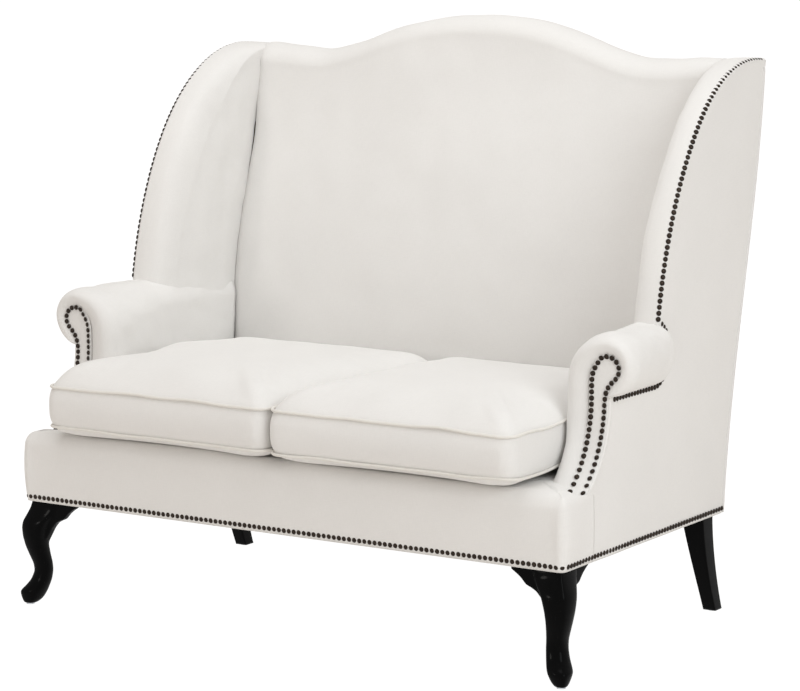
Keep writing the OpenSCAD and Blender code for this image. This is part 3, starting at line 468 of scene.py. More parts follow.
def cloth_finish(name, colour, thread=0.0016, relief=0.00035, fuzz=0.30):
    """Woven cloth: two crossed rows of threads on the UV map, thick and thin yarn, a slight
    mottling and a soft sheen."""
    m = Nodes(name)
    uv = m.add("ShaderNodeUVMap", uv_map="cloth").outputs["UV"]
    place = m.add("ShaderNodeTexCoord").outputs["Object"]
    parts = m.add("ShaderNodeSeparateXYZ", in_Vector=uv)
    turns = 2 * math.pi / thread
    warp = m.math("SINE", m.math("MULTIPLY", parts.outputs["X"], turns))
    weft = m.math("SINE", m.math("MULTIPLY", parts.outputs["Y"], turns))
    over = m.math("MULTIPLY", warp, weft)
    long_yarn = m.add("ShaderNodeMapping", in_Vector=uv, in_Scale=(60.0, 900.0, 1.0)).outputs["Vector"]
    cross_yarn = m.add("ShaderNodeMapping", in_Vector=uv, in_Scale=(900.0, 60.0, 1.0)).outputs["Vector"]
    slub = m.math("ADD", m.noise(long_yarn, 1.0, 2.0), m.noise(cross_yarn, 1.0, 2.0))
    grain = m.noise(place, 420.0, 4.0, 0.7)
    rough = m.math("ADD", m.math("MULTIPLY", slub, 0.55), grain)
    height = m.math("ADD", m.math("MULTIPLY", over, 0.22), rough)
    mottle = m.math("ADD", m.math("MULTIPLY", slub, 0.38), m.math("MULTIPLY", m.noise(place, 7.0, 3.0), 0.30))
    m.set(Base_Color=m.ramp(mottle, shade(colour, 0.955), shade(colour, 1.025), 0.35, 0.72))
    m.set(Roughness=0.92, Sheen_Weight=fuzz, Sheen_Roughness=0.45, Specular_IOR_Level=0.18)
    m.shader.inputs["Sheen Tint"].default_value = (*shade(colour, 1.08), 1.0)
    m.set(Normal=m.bump(height, 0.55, relief))
    return m.material


def lacquer_finish(name, colour):
    """Gloss lacquer over wood: deep black with a hint of grain, a clear coat and soft ripples."""
    m = Nodes(name)
    place = m.add("ShaderNodeTexCoord").outputs["Object"]
    grain_way = m.add("ShaderNodeMapping", in_Vector=place, in_Scale=(90.0, 90.0, 9.0)).outputs["Vector"]
    grain = m.noise(grain_way, 1.0, 4.0)
    m.set(Base_Color=m.ramp(grain, colour, shade(colour, 1.6), 0.45, 0.85))
    wear = m.noise(place, 60.0, 4.0)
    m.set(Roughness=m.math("ADD", 0.24, m.math("MULTIPLY", wear, 0.16)))
    m.set(Coat_Weight=0.05, Coat_Roughness=0.09, Specular_IOR_Level=0.02)
    ripple = m.math("ADD", m.noise(place, 24.0, 2.0), m.math("MULTIPLY", grain, 0.10))
    m.set(Normal=m.bump(ripple, 0.25, 0.0012))
    return m.material


def metal_finish(name, colour, roughness, scratch, metallic=1.0):
    """Metal with fine scratches and uneven polish."""
    m = Nodes(name)
    place = m.add("ShaderNodeTexCoord").outputs["Object"]
    patch = m.noise(place, 160.0, 4.0, 0.65)
    m.set(Base_Color=m.ramp(patch, shade(colour, 0.6), shade(colour, 1.5), 0.3, 0.75))
    m.set(Roughness=m.math("ADD", roughness - 0.08, m.math("MULTIPLY", patch, 0.2)))
    m.set(Metallic=metallic)
    m.set(Normal=m.bump(m.noise(place, scratch, 3.0, 0.6), 0.2, 0.0003))
    return m.material


def timber_finish(name, colour):
    """Sawn hardwood: rings stretched along the grain, pores and saw marks."""
    m = Nodes(name)
    place = m.add("ShaderNodeTexCoord").outputs["Object"]
    stretched = m.add("ShaderNodeMapping", in_Vector=place, in_Scale=(2.0, 26.0, 26.0)).outputs["Vector"]
    rings = m.noise(stretched, 2.0, 5.0, 0.6)
    pores = m.noise(stretched, 16.0, 3.0, 0.7)
    tone = m.math("ADD", m.math("MULTIPLY", rings, 0.75), m.math("MULTIPLY", pores, 0.25))
    m.set(Base_Color=m.ramp(tone, shade(colour, 0.55), shade(colour, 1.25), 0.35, 0.65), Roughness=0.72)
    m.set(Normal=m.bump(pores, 0.4, 0.0006))
    return m.material


def coarse_finish(name, colour, thread):
    """Coarse open weave: thick crossed yarns with dark gaps between them."""
    m = Nodes(name)
    uv = m.add("ShaderNodeUVMap", uv_map="cloth").outputs["UV"]
    parts = m.add("ShaderNodeSeparateXYZ", in_Vector=uv)
    turns = math.pi / thread
    warp = m.math("ABSOLUTE", m.math("SINE", m.math("MULTIPLY", parts.outputs["X"], turns)))
    weft = m.math("ABSOLUTE", m.math("SINE", m.math("MULTIPLY", parts.outputs["Y"], turns)))
    yarn = m.math("MULTIPLY", warp, weft)
    fibre = m.noise(uv, 900.0, 3.0)
    tone = m.math("ADD", m.math("MULTIPLY", yarn, 0.7), m.math("MULTIPLY", fibre, 0.3))
    m.set(Base_Color=m.ramp(tone, shade(colour, 0.35), shade(colour, 1.2), 0.15, 0.7), Roughness=0.95)
    m.set(Normal=m.bump(tone, 0.8, 0.0008))
    return m.material


_finishes = {}


def finish(slot):
    """The material of a slot, made once."""
    c = colours()
    makers = {
        "ivory_cloth": lambda: cloth_finish("ivory_cloth", tuple(c.ivory)),
        "cushion_cloth": lambda: cloth_finish("cushion_cloth", tuple(c.ivory)),
        "deck_cloth": lambda: cloth_finish("deck_cloth", shade(tuple(c.ivory), 0.94), 0.0022),
        "welt_cloth": lambda: cloth_finish("welt_cloth", tuple(c.welt), 0.0012, 0.0002),
        "dust_cloth": lambda: cloth_finish("dust_cloth", tuple(c.dust), 0.0030, 0.0003, 0.05),
        "black_lacquer": lambda: lacquer_finish("black_lacquer", tuple(c.lacquer)),
        "nail_heads": lambda: metal_finish("nail_heads", tuple(c.nail), 0.38, 700.0, 0.85),
        "steel": lambda: metal_finish("steel", tuple(c.steel), 0.32, 300.0),
        "frame_timber": lambda: timber_finish("frame_timber", tuple(c.timber)),
        "jute": lambda: coarse_finish("jute", tuple(c.jute), 0.003),
    }
    if slot not in _finishes:
        _finishes[slot] = makers[slot]()
    return _finishes[slot]


class SETTEE_OT_frame_finishes(bpy.types.Operator):
    """Gives the timber, springs and fittings of the frame their finishes"""
    bl_idname = "settee.frame_finishes"
    bl_label = "Frame finishes"

    def execute(self, context):
        """Each node takes the finish of its own slot."""
        for part in frame["record"]["subparts"]:
            node = frame["nodes"].get(part["node"])
            if node is not None:
                node.data.materials.clear()
                node.data.materials.append(finish(part["material_slot"]))
        return {"FINISHED"}


# Front border

# Where an arm's foot presses on the border: from and to so far from the middle, from so far behind
# the rail's face, and above this height
FOOT_IN, FOOT_OUT, FOOT_FRONT, FOOT_LOW = 0.592, 0.648, 0.045, 0.330


def border_section(round_r, top, low, depth):
    """Section of the border as (inset, height): up the face, round the top edge, back along the
    top and down inside. Its two halves have as many points each."""
    wall, roof = 0.012, 0.02
    a = np.linspace(0.0, np.pi / 2, 14)
    face = np.stack([np.zeros(16), np.linspace(low, top - round_r, 16)], -1)
    arc = np.stack([round_r * (1 - np.cos(a)), top - round_r + round_r * np.sin(a)], -1)
    flat = np.stack([np.linspace(round_r, depth, 12), np.full(12, top)], -1)
    outer = np.concatenate([face, arc[1:], flat[1:]])
    inner = np.stack([np.full(len(outer), wall), np.linspace(low, top - roof, len(outer))], -1)
    inner[-14:, 0] = np.linspace(wall, depth, 14)
    inner[-14:, 1] = top - roof
    return np.concatenate([outer, inner[::-1]])


def border_grid():
    """The border: its section carried round a U in plan with rounded corners. The face swells a
    little between its edges, more at the ends, and the top is pressed down under the arms' feet."""
    s = sizes()
    w, d, r0 = s.half_w, s.border_d, s.border_corner_r
    rows = []
    side = np.linspace(d, r0, 22)
    turn = np.linspace(0.0, np.pi / 2, 14)
    front = np.linspace(-w + r0, w - r0, 210)
    for kind, values in (("left", side[:-1]), ("turn_left", turn), ("front", front[1:-1]),
                         ("turn_right", turn), ("right", side[::-1][1:])):
        for value in values:
            part = smooth(value / (np.pi / 2))
            edge = {"left": 1.0, "turn_left": 1 - part, "front": 0.0, "turn_right": part, "right": 1.0}[kind]
            section = border_section(mix(s.border_front_r, s.border_side_r, edge), s.rail_top, s.leg_h, d)
            inset, z = section[:, 0], section[:, 1]
            r = np.maximum(r0 - inset, 0.002)
            if kind == "left":
                x, y = -w + inset, np.maximum(value, inset + r)
            elif kind == "right":
                x, y = w - inset, np.maximum(value, inset + r)
            elif kind == "front":
                x, y = np.clip(value, -w + inset + r, w - inset - r), inset
            elif kind == "turn_left":
                x, y = -w + inset + r - r * np.cos(value), inset + r - r * np.sin(value)
            else:
                x, y = w - inset - r + r * np.sin(value), inset + r - r * np.cos(value)
            rows.append(xyz(x, y, z))
    grid = np.array(rows)
    height = np.clip((grid[..., 2] - s.leg_h) / (s.rail_top - s.leg_h), 0, 1)
    outer = np.arange(grid.shape[1]) < grid.shape[1] // 2
    end = smooth((np.abs(grid[..., 0]) - w + 0.03) / 0.03) * (1 - smooth((grid[..., 1] - 0.02) / 0.09))
    puff = (0.0022 + 0.0050 * end) * np.sin(np.pi * height) ** 0.8 + 0.0007 * waves(grid, 0.16, 3) * height
    grid = swell(grid, puff * outer, loop_v=True)
    across = np.abs(grid[..., 0])
    pressed = smooth((across - FOOT_IN) / 0.034) * smooth((grid[..., 2] - FOOT_LOW) / 0.045)
    pressed = pressed * smooth((grid[..., 1] - FOOT_FRONT) / 0.04) * (1 - smooth((across - FOOT_OUT) / 0.010))
    grid[..., 2] -= s.foot_dip * pressed * outer
    return grid


class SETTEE_OT_front_border(bpy.types.Operator):
    """Builds the padded border over the front rail"""
    bl_idname = "settee.front_border"
    bl_label = "Front border"

    def execute(self, context):
        """One closed form with the border's section all along."""
        cover("front_border_cover", border_grid(), "ivory_cloth", "front_border", 0.8)
        return {"FINISHED"}


# Back

# Heights of the round top's front and rear edges, and depth of the seam beside a wing
TOP_FRONT_R, TOP_REAR_R, SEAM_DEPTH = 0.046, 0.018, 0.010


def back_section(x):
    """Section of the inside back at x: up the crowned face, over the round top, down behind."""
    s = sizes()
    half = s.wing_in - GAP
    top = crest(x)
    zf, zr = top - TOP_FRONT_R, top - TOP_REAR_R
    z = np.linspace(s.rail_top - 0.035, zf, 70)
    edge = 1 - (abs(x) / half) ** 2
    lean = np.clip((z - s.lean_low) / (s.lean_high - s.lean_low), 0, 1)
    y = inside_y(z) - s.back_crown * edge * np.sin(np.pi * lean)
    y = y + SEAM_DEPTH * np.exp(-(half - abs(x)) / SEAM_DEPTH)
    yr = rear_y(zr)
    ya = mix(y[-1], yr, 0.6)
    a = np.linspace(0, np.pi / 2, 22)[1:]
    front = np.stack([ya + (y[-1] - ya) * np.cos(a), zf + TOP_FRONT_R * np.sin(a)], -1)
    rear = np.stack([ya + (yr - ya) * np.sin(a), zr + TOP_REAR_R * np.cos(a)], -1)
    outer = np.concatenate([np.stack([y, z], -1), front, rear])
    zi = np.linspace(z[0], zr - 0.002, len(outer))
    inner = np.stack([np.minimum(rear_y(zi) - 0.030, yr - 0.003), zi], -1)
    ring = np.concatenate([outer, inner[::-1]])
    return np.concatenate([np.full((len(ring), 1), x), ring], 1)


class SETTEE_OT_inside_back(bpy.types.Operator):
    """Builds the crowned inside back with its camel top"""
    bl_idname = "settee.inside_back"
    bl_label = "Inside back"

    def execute(self, context):
        """Sections carried from wing to wing, with soft unevenness in the padding."""
        s = sizes()
        t = np.linspace(-1, 1, 190)
        xs = (s.wing_in - GAP) * np.sign(t) * (1 - (1 - np.abs(t)) ** 1.25)
        grid = np.array([back_section(x) for x in xs])
        outer = (np.arange(grid.shape[1]) < grid.shape[1] // 2).astype(float)
        rise = np.clip((grid[..., 2] - s.lean_low) / 0.1, 0, 1)
        uneven = 0.0012 * waves(grid, 0.28, 11) + 0.0004 * waves(grid, 0.09, 12)
        grid = swell(grid, uneven * outer * rise, loop_v=True)
        cover("inside_back_cover", grid, "ivory_cloth", "inside_back", 0.7)
        return {"FINISHED"}


def pad_between(left, right, normal, thick, columns, puff, seed, lip):
    """A thin closed pad between two edges: row by row from one edge to the other, thickest in
    the middle, with round edges. The front and back sheets make one closed loop."""
    t = np.linspace(0, 1, columns)
    ease = t[None, :, None]
    sheet = left[:, None, :] * (1 - ease) + right[:, None, :] * ease
    width = np.linalg.norm(right - left, axis=1)[:, None]
    reach = np.minimum(t[None, :], 1 - t[None, :]) * width
    rows = np.linspace(0, 1, len(left))
    tall = lengths(sheet, 0).max()
    reach_u = np.minimum(rows, 1 - rows)[:, None] * tall
    rim = rounded(reach, lip) * rounded(reach_u, lip)
    bulge = puff * (1 - np.exp(-np.minimum(reach, reach_u) / 0.05))
    height = (0.5 * thick) * (0.15 + 0.85 * rim)
    uneven = 0.0004 * waves(sheet, 0.2, seed) * rim
    out = sheet + normal * (height + bulge + uneven)[..., None]
    into = sheet - normal * height[..., None]
    return np.concatenate([out, into[:, ::-1]], 1)


class SETTEE_OT_outside_back(bpy.types.Operator):
    """Builds the stretched cover of the back's outer face"""
    bl_idname = "settee.outside_back"
    bl_label = "Outside back"

    def execute(self, context):
        """Rows follow the S of the back, and their tops follow the camel line."""
        s = sizes()
        xs = np.linspace(-s.half_w + 0.0005, s.half_w - 0.0005, 150)
        thick = 0.011
        up = np.linspace(0, 1, 120)[None, :]
        z = s.leg_h + (crest(xs) - 0.0185 - s.leg_h)[:, None] * up
        sheet = xyz(xs[:, None], rear_y(z) - 0.5 * thick - 0.0005, z)
        rim = rounded(np.minimum(np.minimum(up, 1 - up) * 0.9, (s.half_w - np.abs(xs))[:, None]), 0.005)
        height = 0.5 * thick * (0.2 + 0.8 * rim) + 0.0005 * waves(sheet, 0.25, 21) * rim
        out, into = sheet + xyz(0, height, 0), sheet - xyz(0, height, 0)
        grid = np.concatenate([out, into[:, ::-1]], 1)
        cover("outside_back_cover", grid, "ivory_cloth", "outside_back", 0.3)
        return {"FINISHED"}


# Arms

# Ways into and out of the scroll of an arm's front, as shares of its radius
SCROLL_IN_SHARES = np.array([[-1.263, -0.431], [-1.086, 0.02], [-0.835, 0.431]])
SCROLL_OUT_SHARES = np.array([[0.294, -1.098], [0.04, -1.451], [-0.137, -1.92]])
NECK_SHARE = 2.5
# Points of an arm's section: inner face, shoulder, flat of the top, roll, and down inside the panel
FACE, SHOULDER, FLAT, ROLL, DOWN = 30, 22, 4, 46, 90
COVER = FACE + SHOULDER + FLAT + ROLL


def roll_middle():
    """Middle of an arm's roll as (x, z)."""
    s = sizes()
    return s.half_w + s.roll_out - s.roll_r, s.arm_h - s.roll_r


def scroll_runs():
    """The nail line round the scroll as two runs of (x, z): from the inner column up to the top,
    and from the top down to the outer column."""
    s = sizes()
    middle = np.array(roll_middle()) - [0.0, s.scroll_drop]

    def ring(start, end, count):
        """A stretch of the scroll's circle, between two angles."""
        a = np.radians(np.linspace(start, end, count))
        return middle + s.scroll_r * np.stack([np.cos(a), np.sin(a)], -1)

    up = np.concatenate([[[s.inner_nail_x, middle[1] - s.scroll_r]], middle + s.scroll_r * SCROLL_IN_SHARES,
                         ring(125.0, 90.0, 8)])
    down = np.concatenate([ring(90.0, -50.0, 28), middle + s.scroll_r * SCROLL_OUT_SHARES,
                           [[s.outer_nail_x, middle[1] - NECK_SHARE * s.scroll_r]]])
    return up, down


def facing_chain(z0):
    """The nail line of an arm's front as (x, z), from the foot of its inner column over the scroll
    to the foot of its outer column."""
    s = sizes()
    up, down = scroll_runs()
    rise = np.stack([np.full(16, s.inner_nail_x), np.linspace(z0, up[0, 1], 16)], -1)
    fall = np.stack([np.full(16, s.outer_nail_x), np.linspace(down[-1, 1], z0, 16)], -1)
    return np.concatenate([rise[:-1], up, down[1:], fall[1:]])


def beside(path, distance):
    """A chain of points moved to its left."""
    way = np.gradient(path, axis=0)
    way /= np.linalg.norm(way, axis=1, keepdims=True)
    return path + distance * np.stack([-way[:, 1], way[:, 0]], -1)


def arm_section(t, squeeze=1.0):
    """Section of an arm as (x, z) at a share t of the way from its front to the roll's end: up the
    inner face, round the shoulder, over the roll and down inside the panel. The shoulder is fuller
    in front and the roll narrows towards the back. Squeeze closes the roll's end."""
    s = sizes()
    rx, rz = roll_middle()
    wide, tall = mix(rx - s.arm_in - 0.002, s.shoulder_back, t), mix(s.shoulder_front, s.shoulder_back, t)
    face = np.stack([np.full(FACE, s.arm_in), np.linspace(s.arm_foot, s.arm_h - tall, FACE)], -1)
    a = np.linspace(np.pi, np.pi / 2, SHOULDER + 1)[1:]
    shoulder = np.stack([s.arm_in + wide * (1 + np.cos(a)), s.arm_h - tall * (1 - np.sin(a))], -1)
    rx = mix(s.half_w - PANEL_DEPTH, rx, math.sqrt(squeeze))
    flat = np.stack([np.linspace(s.arm_in + wide, rx, FLAT + 2)[1:-1], np.full(FLAT, s.arm_h)], -1)
    b = np.linspace(np.pi / 2, -np.pi / 2, ROLL)
    roll = np.stack([rx + mix(s.roll_r, s.roll_end_w, t) * squeeze * np.cos(b),
                     rz + s.roll_r * squeeze * np.sin(b)], -1)
    low = np.linspace(rz - s.roll_r * squeeze, s.arm_foot, DOWN)
    down = np.stack([np.full(DOWN, s.half_w - PANEL_DEPTH), low], -1)
    return np.concatenate([face, shoulder, flat, roll, down])


def belly(y, z):
    """How far an arm's inner face swells inwards, most a little behind its front."""
    behind = y - arm_front(z) - 0.035
    return sizes().arm_belly * np.exp(-(behind / 0.06) ** 2) * smooth((z - 0.44) / 0.06)


def facing_rim():
    """Where each point of an arm's front section ends, under the nails of its front."""
    s = sizes()
    up, down = scroll_runs()
    rise = np.stack([np.full(FACE, s.inner_nail_x), np.linspace(s.arm_foot, up[0, 1], FACE)], -1)
    fall = np.stack([np.full(DOWN, s.outer_nail_x), np.linspace(down[-1, 1], s.arm_foot, DOWN)], -1)
    return np.concatenate([rise, refine(up, SHOULDER + FLAT + 1)[1:], refine(down, ROLL), fall])


def arm_grid():
    """An arm. Its front rises from the valley under the nails to the crest of the padding and turns
    back round the edge. The sections run back along the roll, which closes like an egg, and then
    straight to the inside back. A first section hidden in the arm closes its front."""
    s = sizes()
    front, rim = arm_section(0.0), facing_rim()
    full = smooth(np.linalg.norm(rim - front, axis=1) / 0.030)
    edge_share = 0.42
    steps = np.concatenate([np.linspace(1, edge_share, 10)[:-1],
                            edge_share * (1 - np.sin(np.linspace(0, np.pi / 2, 16)))])
    rows = []
    for m in steps:
        ring = mix(front, rim, m)
        crest_part = np.sin(np.pi / 2 * np.clip((1 - m) / (1 - edge_share), 0, 1))
        out = s.face_valley + s.face_bulge * full * crest_part
        turn = np.clip(1 - m / edge_share, 0, 1)
        back = (s.arm_round + out) * (1 - math.sqrt(1 - turn * turn))
        rows.append(xyz(ring[:, 0], arm_front(ring[:, 1]) - out + back, ring[:, 1]))
    rows.insert(0, rows[0] + [0.0, 0.035, 0.0])
    start = rows[-1][:, 1].copy()
    for t in np.linspace(0, 1, 50)[1:]:
        ring = arm_section(t)
        rows.append(xyz(ring[:, 0], mix(start, s.roll_end_y, t), ring[:, 1]))
    for a in np.linspace(0, np.pi / 2 - 0.05, 18)[1:]:
        ring = arm_section(1.0, math.cos(a))
        rows.append(xyz(ring[:, 0], s.roll_end_y + s.roll_end_d * math.sin(a), ring[:, 1]))
    last = rows[-1].copy()
    for t in np.linspace(0, 1, 24)[1:]:
        rows.append(xyz(last[:, 0], mix(last[:, 1], inside_y(last[:, 2]) - 0.002, t), last[:, 2]))
    grid = np.array(rows)
    inner = 1 - smooth((np.arange(grid.shape[1]) - FACE - SHOULDER + 12) / 10)
    grid[..., 0] -= inner * belly(grid[..., 1], grid[..., 2])
    return grid


class SETTEE_OT_arms(bpy.types.Operator):
    """Builds the two padded arms with their rolls"""
    bl_idname = "settee.arms"
    bl_label = "Arms"

    def execute(self, context):
        """One closed form for each arm, mirrored to the left."""
        for name, side in SIDES.items():
            grid = arm_grid()
            shown = np.arange(grid.shape[1]) < COVER
            uneven = 0.0011 * waves(grid, 0.11, 31 + side) + 0.0005 * waves(grid, 0.045, 33 + side)
            free = np.clip((grid[..., 1] - arm_front(grid[..., 2])) / 0.02, 0.15, 1)
            grid = np.where(shown[None, :, None], swell(grid, uneven * free, loop_v=True), grid)
            cover("inside_arm_cover_" + name, mirrored(grid, side), "ivory_cloth", "inside_arm_" + name, 0.8)
        return {"FINISHED"}


class SETTEE_OT_arm_facings(bpy.types.Operator):
    """Builds the facings on the fronts of the arms"""
    bl_idname = "settee.arm_facings"
    bl_label = "Arm facings"

    def execute(self, context):
        """Rungs between the two sides of the nail line, from the foot to the top of the scroll."""
        s = sizes()
        outline = beside(refine(facing_chain(s.arm_foot), 200), s.facing_edge)
        outline = xyz(outline[:, 0], arm_front(outline[:, 1]) - 0.0024, outline[:, 1])
        left, right = outline[:98], outline[:-99:-1]
        grid = pad_between(left, right, np.array([0.0, -1.0, 0.0]), thick=0.0022, columns=26, puff=0.0016,
                           seed=5, lip=0.006)
        for name, side in SIDES.items():
            cover("arm_facing_cover_" + name, mirrored(grid, side), "ivory_cloth", "arm_facing_" + name, 0.5)
        return {"FINISHED"}


# Wings and side panels

# Rounding of a wing, as shares of its thickness and of the width of the rounding
WING_EDGE_SHARES = np.array([[0.0, 1.0], [0.07, 0.7], [0.16, 0.43], [0.27, 0.23], [0.43, 0.1],
                             [0.68, 0.02], [1.0, 0.0]])
# Columns of a wing's section that show, from the seam to the middle of its rounding
WING_SHOWN = 54
# How far inside its front edge a wing's cover turns back under the side panel
WING_TUCK = 0.0070


def wing_fade(t):
    """Width of a wing's rounding as a share: it dies away where the wing's top meets the back's."""
    return mix(1.0, 0.12, smooth((t - 0.5) / 0.5))


def wing_grid():
    """A wing: stations along its front edge, each a closed section. A section runs from the seam at
    the back over the swollen inner face, round the edge to the flat for the nails, and back inside
    the panel. The first stations stand in the arm and the last one ends at the outside back."""
    s = sizes()
    drop = np.linspace(0.050, 0.0, 8)[:-1]
    t = np.concatenate([np.zeros(len(drop)), np.linspace(0, 1, 124), [1.0]])
    shift = np.zeros((len(t), 2))
    shift[:len(drop), 1] = -drop
    shift[-1, 0] = float(rear_y(s.wing_top)) - GAP - s.wing_back_y
    spine_z = mix(s.arm_h - 0.008, mix(s.arm_h, s.wing_top, 0.80), t) + shift[:, 1]
    spine_y = mix(inside_y(spine_z) + 0.012, rear_y(spine_z) - 0.0135, smooth((t - 0.8) / 0.2))
    spine = np.stack([spine_y, spine_z], -1)
    width = s.wing_edge_w * wing_fade(t)
    begin = wing_edge(width, t) + shift
    columns = []
    for u in np.linspace(0, 1, 36)[:-1]:
        pillow = s.wing_pillow * smooth(u / 0.3) * (1 - smooth((u - 0.62) / 0.38)) * wing_fade(t)
        columns.append(column_at(s.wing_in - pillow, mix(spine, begin, u)))
    flat = [(0.003, 0.003), (0.0002, 0.0058), (0.0004, 0.0066), (PANEL_DEPTH, WING_TUCK)]
    for q, w in refine(WING_EDGE_SHARES, 29):
        columns.append(column_at(mix(s.wing_in, s.half_w - 0.006, q), wing_edge(width * w, t) + shift))
    for depth, tuck in flat:
        columns.append(column_at(s.half_w - depth, wing_edge(np.full(len(t), tuck), t) + shift))
    inside = wing_edge(np.full(len(t), WING_TUCK), t) + shift
    for u in np.linspace(0, 1, 9)[1:]:
        columns.append(column_at(s.half_w - PANEL_DEPTH, mix(inside, spine, u)))
    return np.stack(columns, 1)


def column_at(x, place):
    """Points from their x and a chain of y and z."""
    return xyz(x, place[:, 0], place[:, 1])


class SETTEE_OT_wings(bpy.types.Operator):
    """Builds the padded insides of the two wings"""
    bl_idname = "settee.wings"
    bl_label = "Wings"

    def execute(self, context):
        """The stations of each wing, with soft unevenness in its padding."""
        s = sizes()
        for name, side in SIDES.items():
            grid = wing_grid()
            shown = np.arange(grid.shape[1]) < WING_SHOWN
            inner = np.clip(1 - (grid[..., 0] - s.wing_in) / 0.06, 0, 1) * shown
            uneven = 0.0013 * waves(grid, 0.17, 51 + side) + 0.0005 * waves(grid, 0.06, 53 + side)
            grid[..., 0] -= uneven * inner
            cover("inside_wing_cover_" + name, mirrored(grid, side), "ivory_cloth",
                  "inside_wing_" + name, 0.75)
        return {"FINISHED"}


def panel_edges():
    """Front and back edges of a side panel, row by row from its foot: behind the border, up the
    arm's front, then up the wing. The step between the last two lies inside the roll."""
    s = sizes()
    rz = s.arm_h - s.roll_r
    turn = s.rail_top - s.border_side_r
    low = np.linspace(s.leg_h, turn, 24)
    stem = np.linspace(turn + GAP, rz, 70)
    wing = wing_edge(np.full(140, 0.0066), np.linspace(0, 1, 140))
    foot = np.linspace(rz + GAP, wing[0, 1], 12)[:-1]
    front = np.concatenate([
        np.stack([np.full_like(low, s.border_d + GAP), low], -1),
        np.stack([arm_front(stem) + GAP + 0.02 * smooth((stem - rz + s.roll_r) / 0.01), stem], -1),
        np.stack([np.full_like(foot, wing[0, 0]), foot], -1), wing])
    top = s.wing_top - 0.0068
    z = np.maximum.accumulate(np.minimum(front[:, 1], top)) + 1e-6 * np.arange(len(front))
    y = rear_y(z) - mix(0.0128, 0.0008, smooth((z - s.panel_step) / 0.001))
    front[:, 0] = np.minimum(front[:, 0], y - 0.0005)
    return front, np.stack([y, z], -1)


def panel_grid(seed):
    """A side panel: a thin pad with round edges whose front stands out like a bead beside the
    facing of the arm."""
    s = sizes()
    front, back = panel_edges()
    split = front.copy()
    split[:, 0] = np.minimum(np.maximum(s.roll_end_y + s.roll_end_d + 0.001, front[:, 0] + 0.015),
                             mix(front[:, 0], back[:, 0], 0.5))
    t = 1 - np.cos(np.linspace(0, np.pi / 2, 45))[None, :-1, None]
    near_part = mix(front[:, None, :], split[:, None, :], t)
    t = np.sin(np.linspace(0, np.pi / 2, 70))[None, :, None]
    far_part = mix(split[:, None, :], back[:, None, :], t)
    place = np.concatenate([near_part, far_part], 1)
    width = np.linalg.norm(back - front, axis=1)[:, None]
    near = place[..., 0] - front[:, :1]
    far = width - near
    z = front[:, 1][:, None]
    bead = smooth((z - s.rail_top + s.foot_dip) / 0.02)
    bead = bead * (1 - smooth((z - s.arm_h + 2 * s.roll_r + 0.014) / 0.02))
    rim = rounded(near, mix(0.0030, 0.0065, bead)) * rounded(far, 0.003)
    half = (0.0057 - 0.0008 * bead * (1 - smooth(near / 0.014))) * (0.12 + 0.88 * rim)
    core = s.half_w - 0.0060 + 0.0043 * bead * (1 - smooth(near / 0.015))
    y = place[..., 0] - s.bead_out * bead * (1 - smooth(near / 0.018))
    uneven = 0.0005 * waves(xyz(0, y, place[..., 1]), 0.22, seed) * rim
    out = xyz(core + half + uneven, y, place[..., 1])
    into = xyz(core - half, y, place[..., 1])
    return np.concatenate([out, into[:, ::-1]], 1)


class SETTEE_OT_side_panels(bpy.types.Operator):
    """Builds the covers of the settee's two sides"""
    bl_idname = "settee.side_panels"
    bl_label = "Side panels"

    def execute(self, context):
        """One closed pad for each side, mirrored to the left."""
        for name, side in SIDES.items():
            grid = mirrored(panel_grid(61 + side), side)
            cover("side_panel_cover_" + name, grid, "ivory_cloth", "side_panel_" + name, 0.3)
        return {"FINISHED"}


# Seat

# How far the sides of a cushion draw in between its corners
SIDE_DRAW = 0.004
# Inset of a cushion's boxing at its seams, and of the middle of its top and underside
SEAM_INSET, MIDDLE_INSET = 0.0035, 0.27
# A cushion lies in front of an arm up to this far behind the rail's face
ARM_BEGINS = 0.15
# Swell of a cushion's corners as a share of the simulated one, the simulation's frames and mesh, and
# how far from a welt's height and from the cushion's side its points are held
CORNER_SWELL = 0.12
CLOTH_FRAMES = 20
CLOTH_STEP = 0.0075
HELD_HEIGHT, HELD_RIM = 0.0045, 0.05
# Share of the crown's height above which the cloth is pressed down, and fall of the crown at the back
CROWN_FREE = 0.6
CROWN_FALL = 0.30
# Length over which a cushion's front slides, and where that begins before the rail's face
SLIDE_REACH, SLIDE_BEGIN = 0.2, 0.03
# Puckers along a cushion's seams
PUCKERS = 26


def cushion_outline(inset):
    """Outline of a seat cushion, inset: a rectangle with round corners whose sides draw in."""
    s = sizes()
    lo = np.array([SEAT_LO[0], SEAT_LO[1] - RAIL_Y]) + inset
    hi = np.array([SEAT_HI[0], SEAT_HI[1] - RAIL_Y]) - inset
    r = min(s.cushion_corner_r, 0.98 * min(hi - lo) / 2)
    left, front, right, back = lo[0] + r, lo[1] + r, hi[0] - r, hi[1] - r
    middles = np.array([(right, front), (right, back), (left, back), (left, front)])
    loop = []
    for k in range(4):
        a = np.radians(np.linspace(90 * (k - 1), 90 * k, 15))
        loop.append(middles[k] + r * np.stack([np.cos(a), np.sin(a)], -1))
        t = np.linspace(0, 1, 51)[1:-1]
        way = np.array([math.cos(math.radians(90 * k)), math.sin(math.radians(90 * k))])
        straight = mix(middles[k], middles[(k + 1) % 4], t[:, None])
        loop.append(straight + (r - SIDE_DRAW * np.sin(np.pi * t))[:, None] * way)
    return np.concatenate(loop)


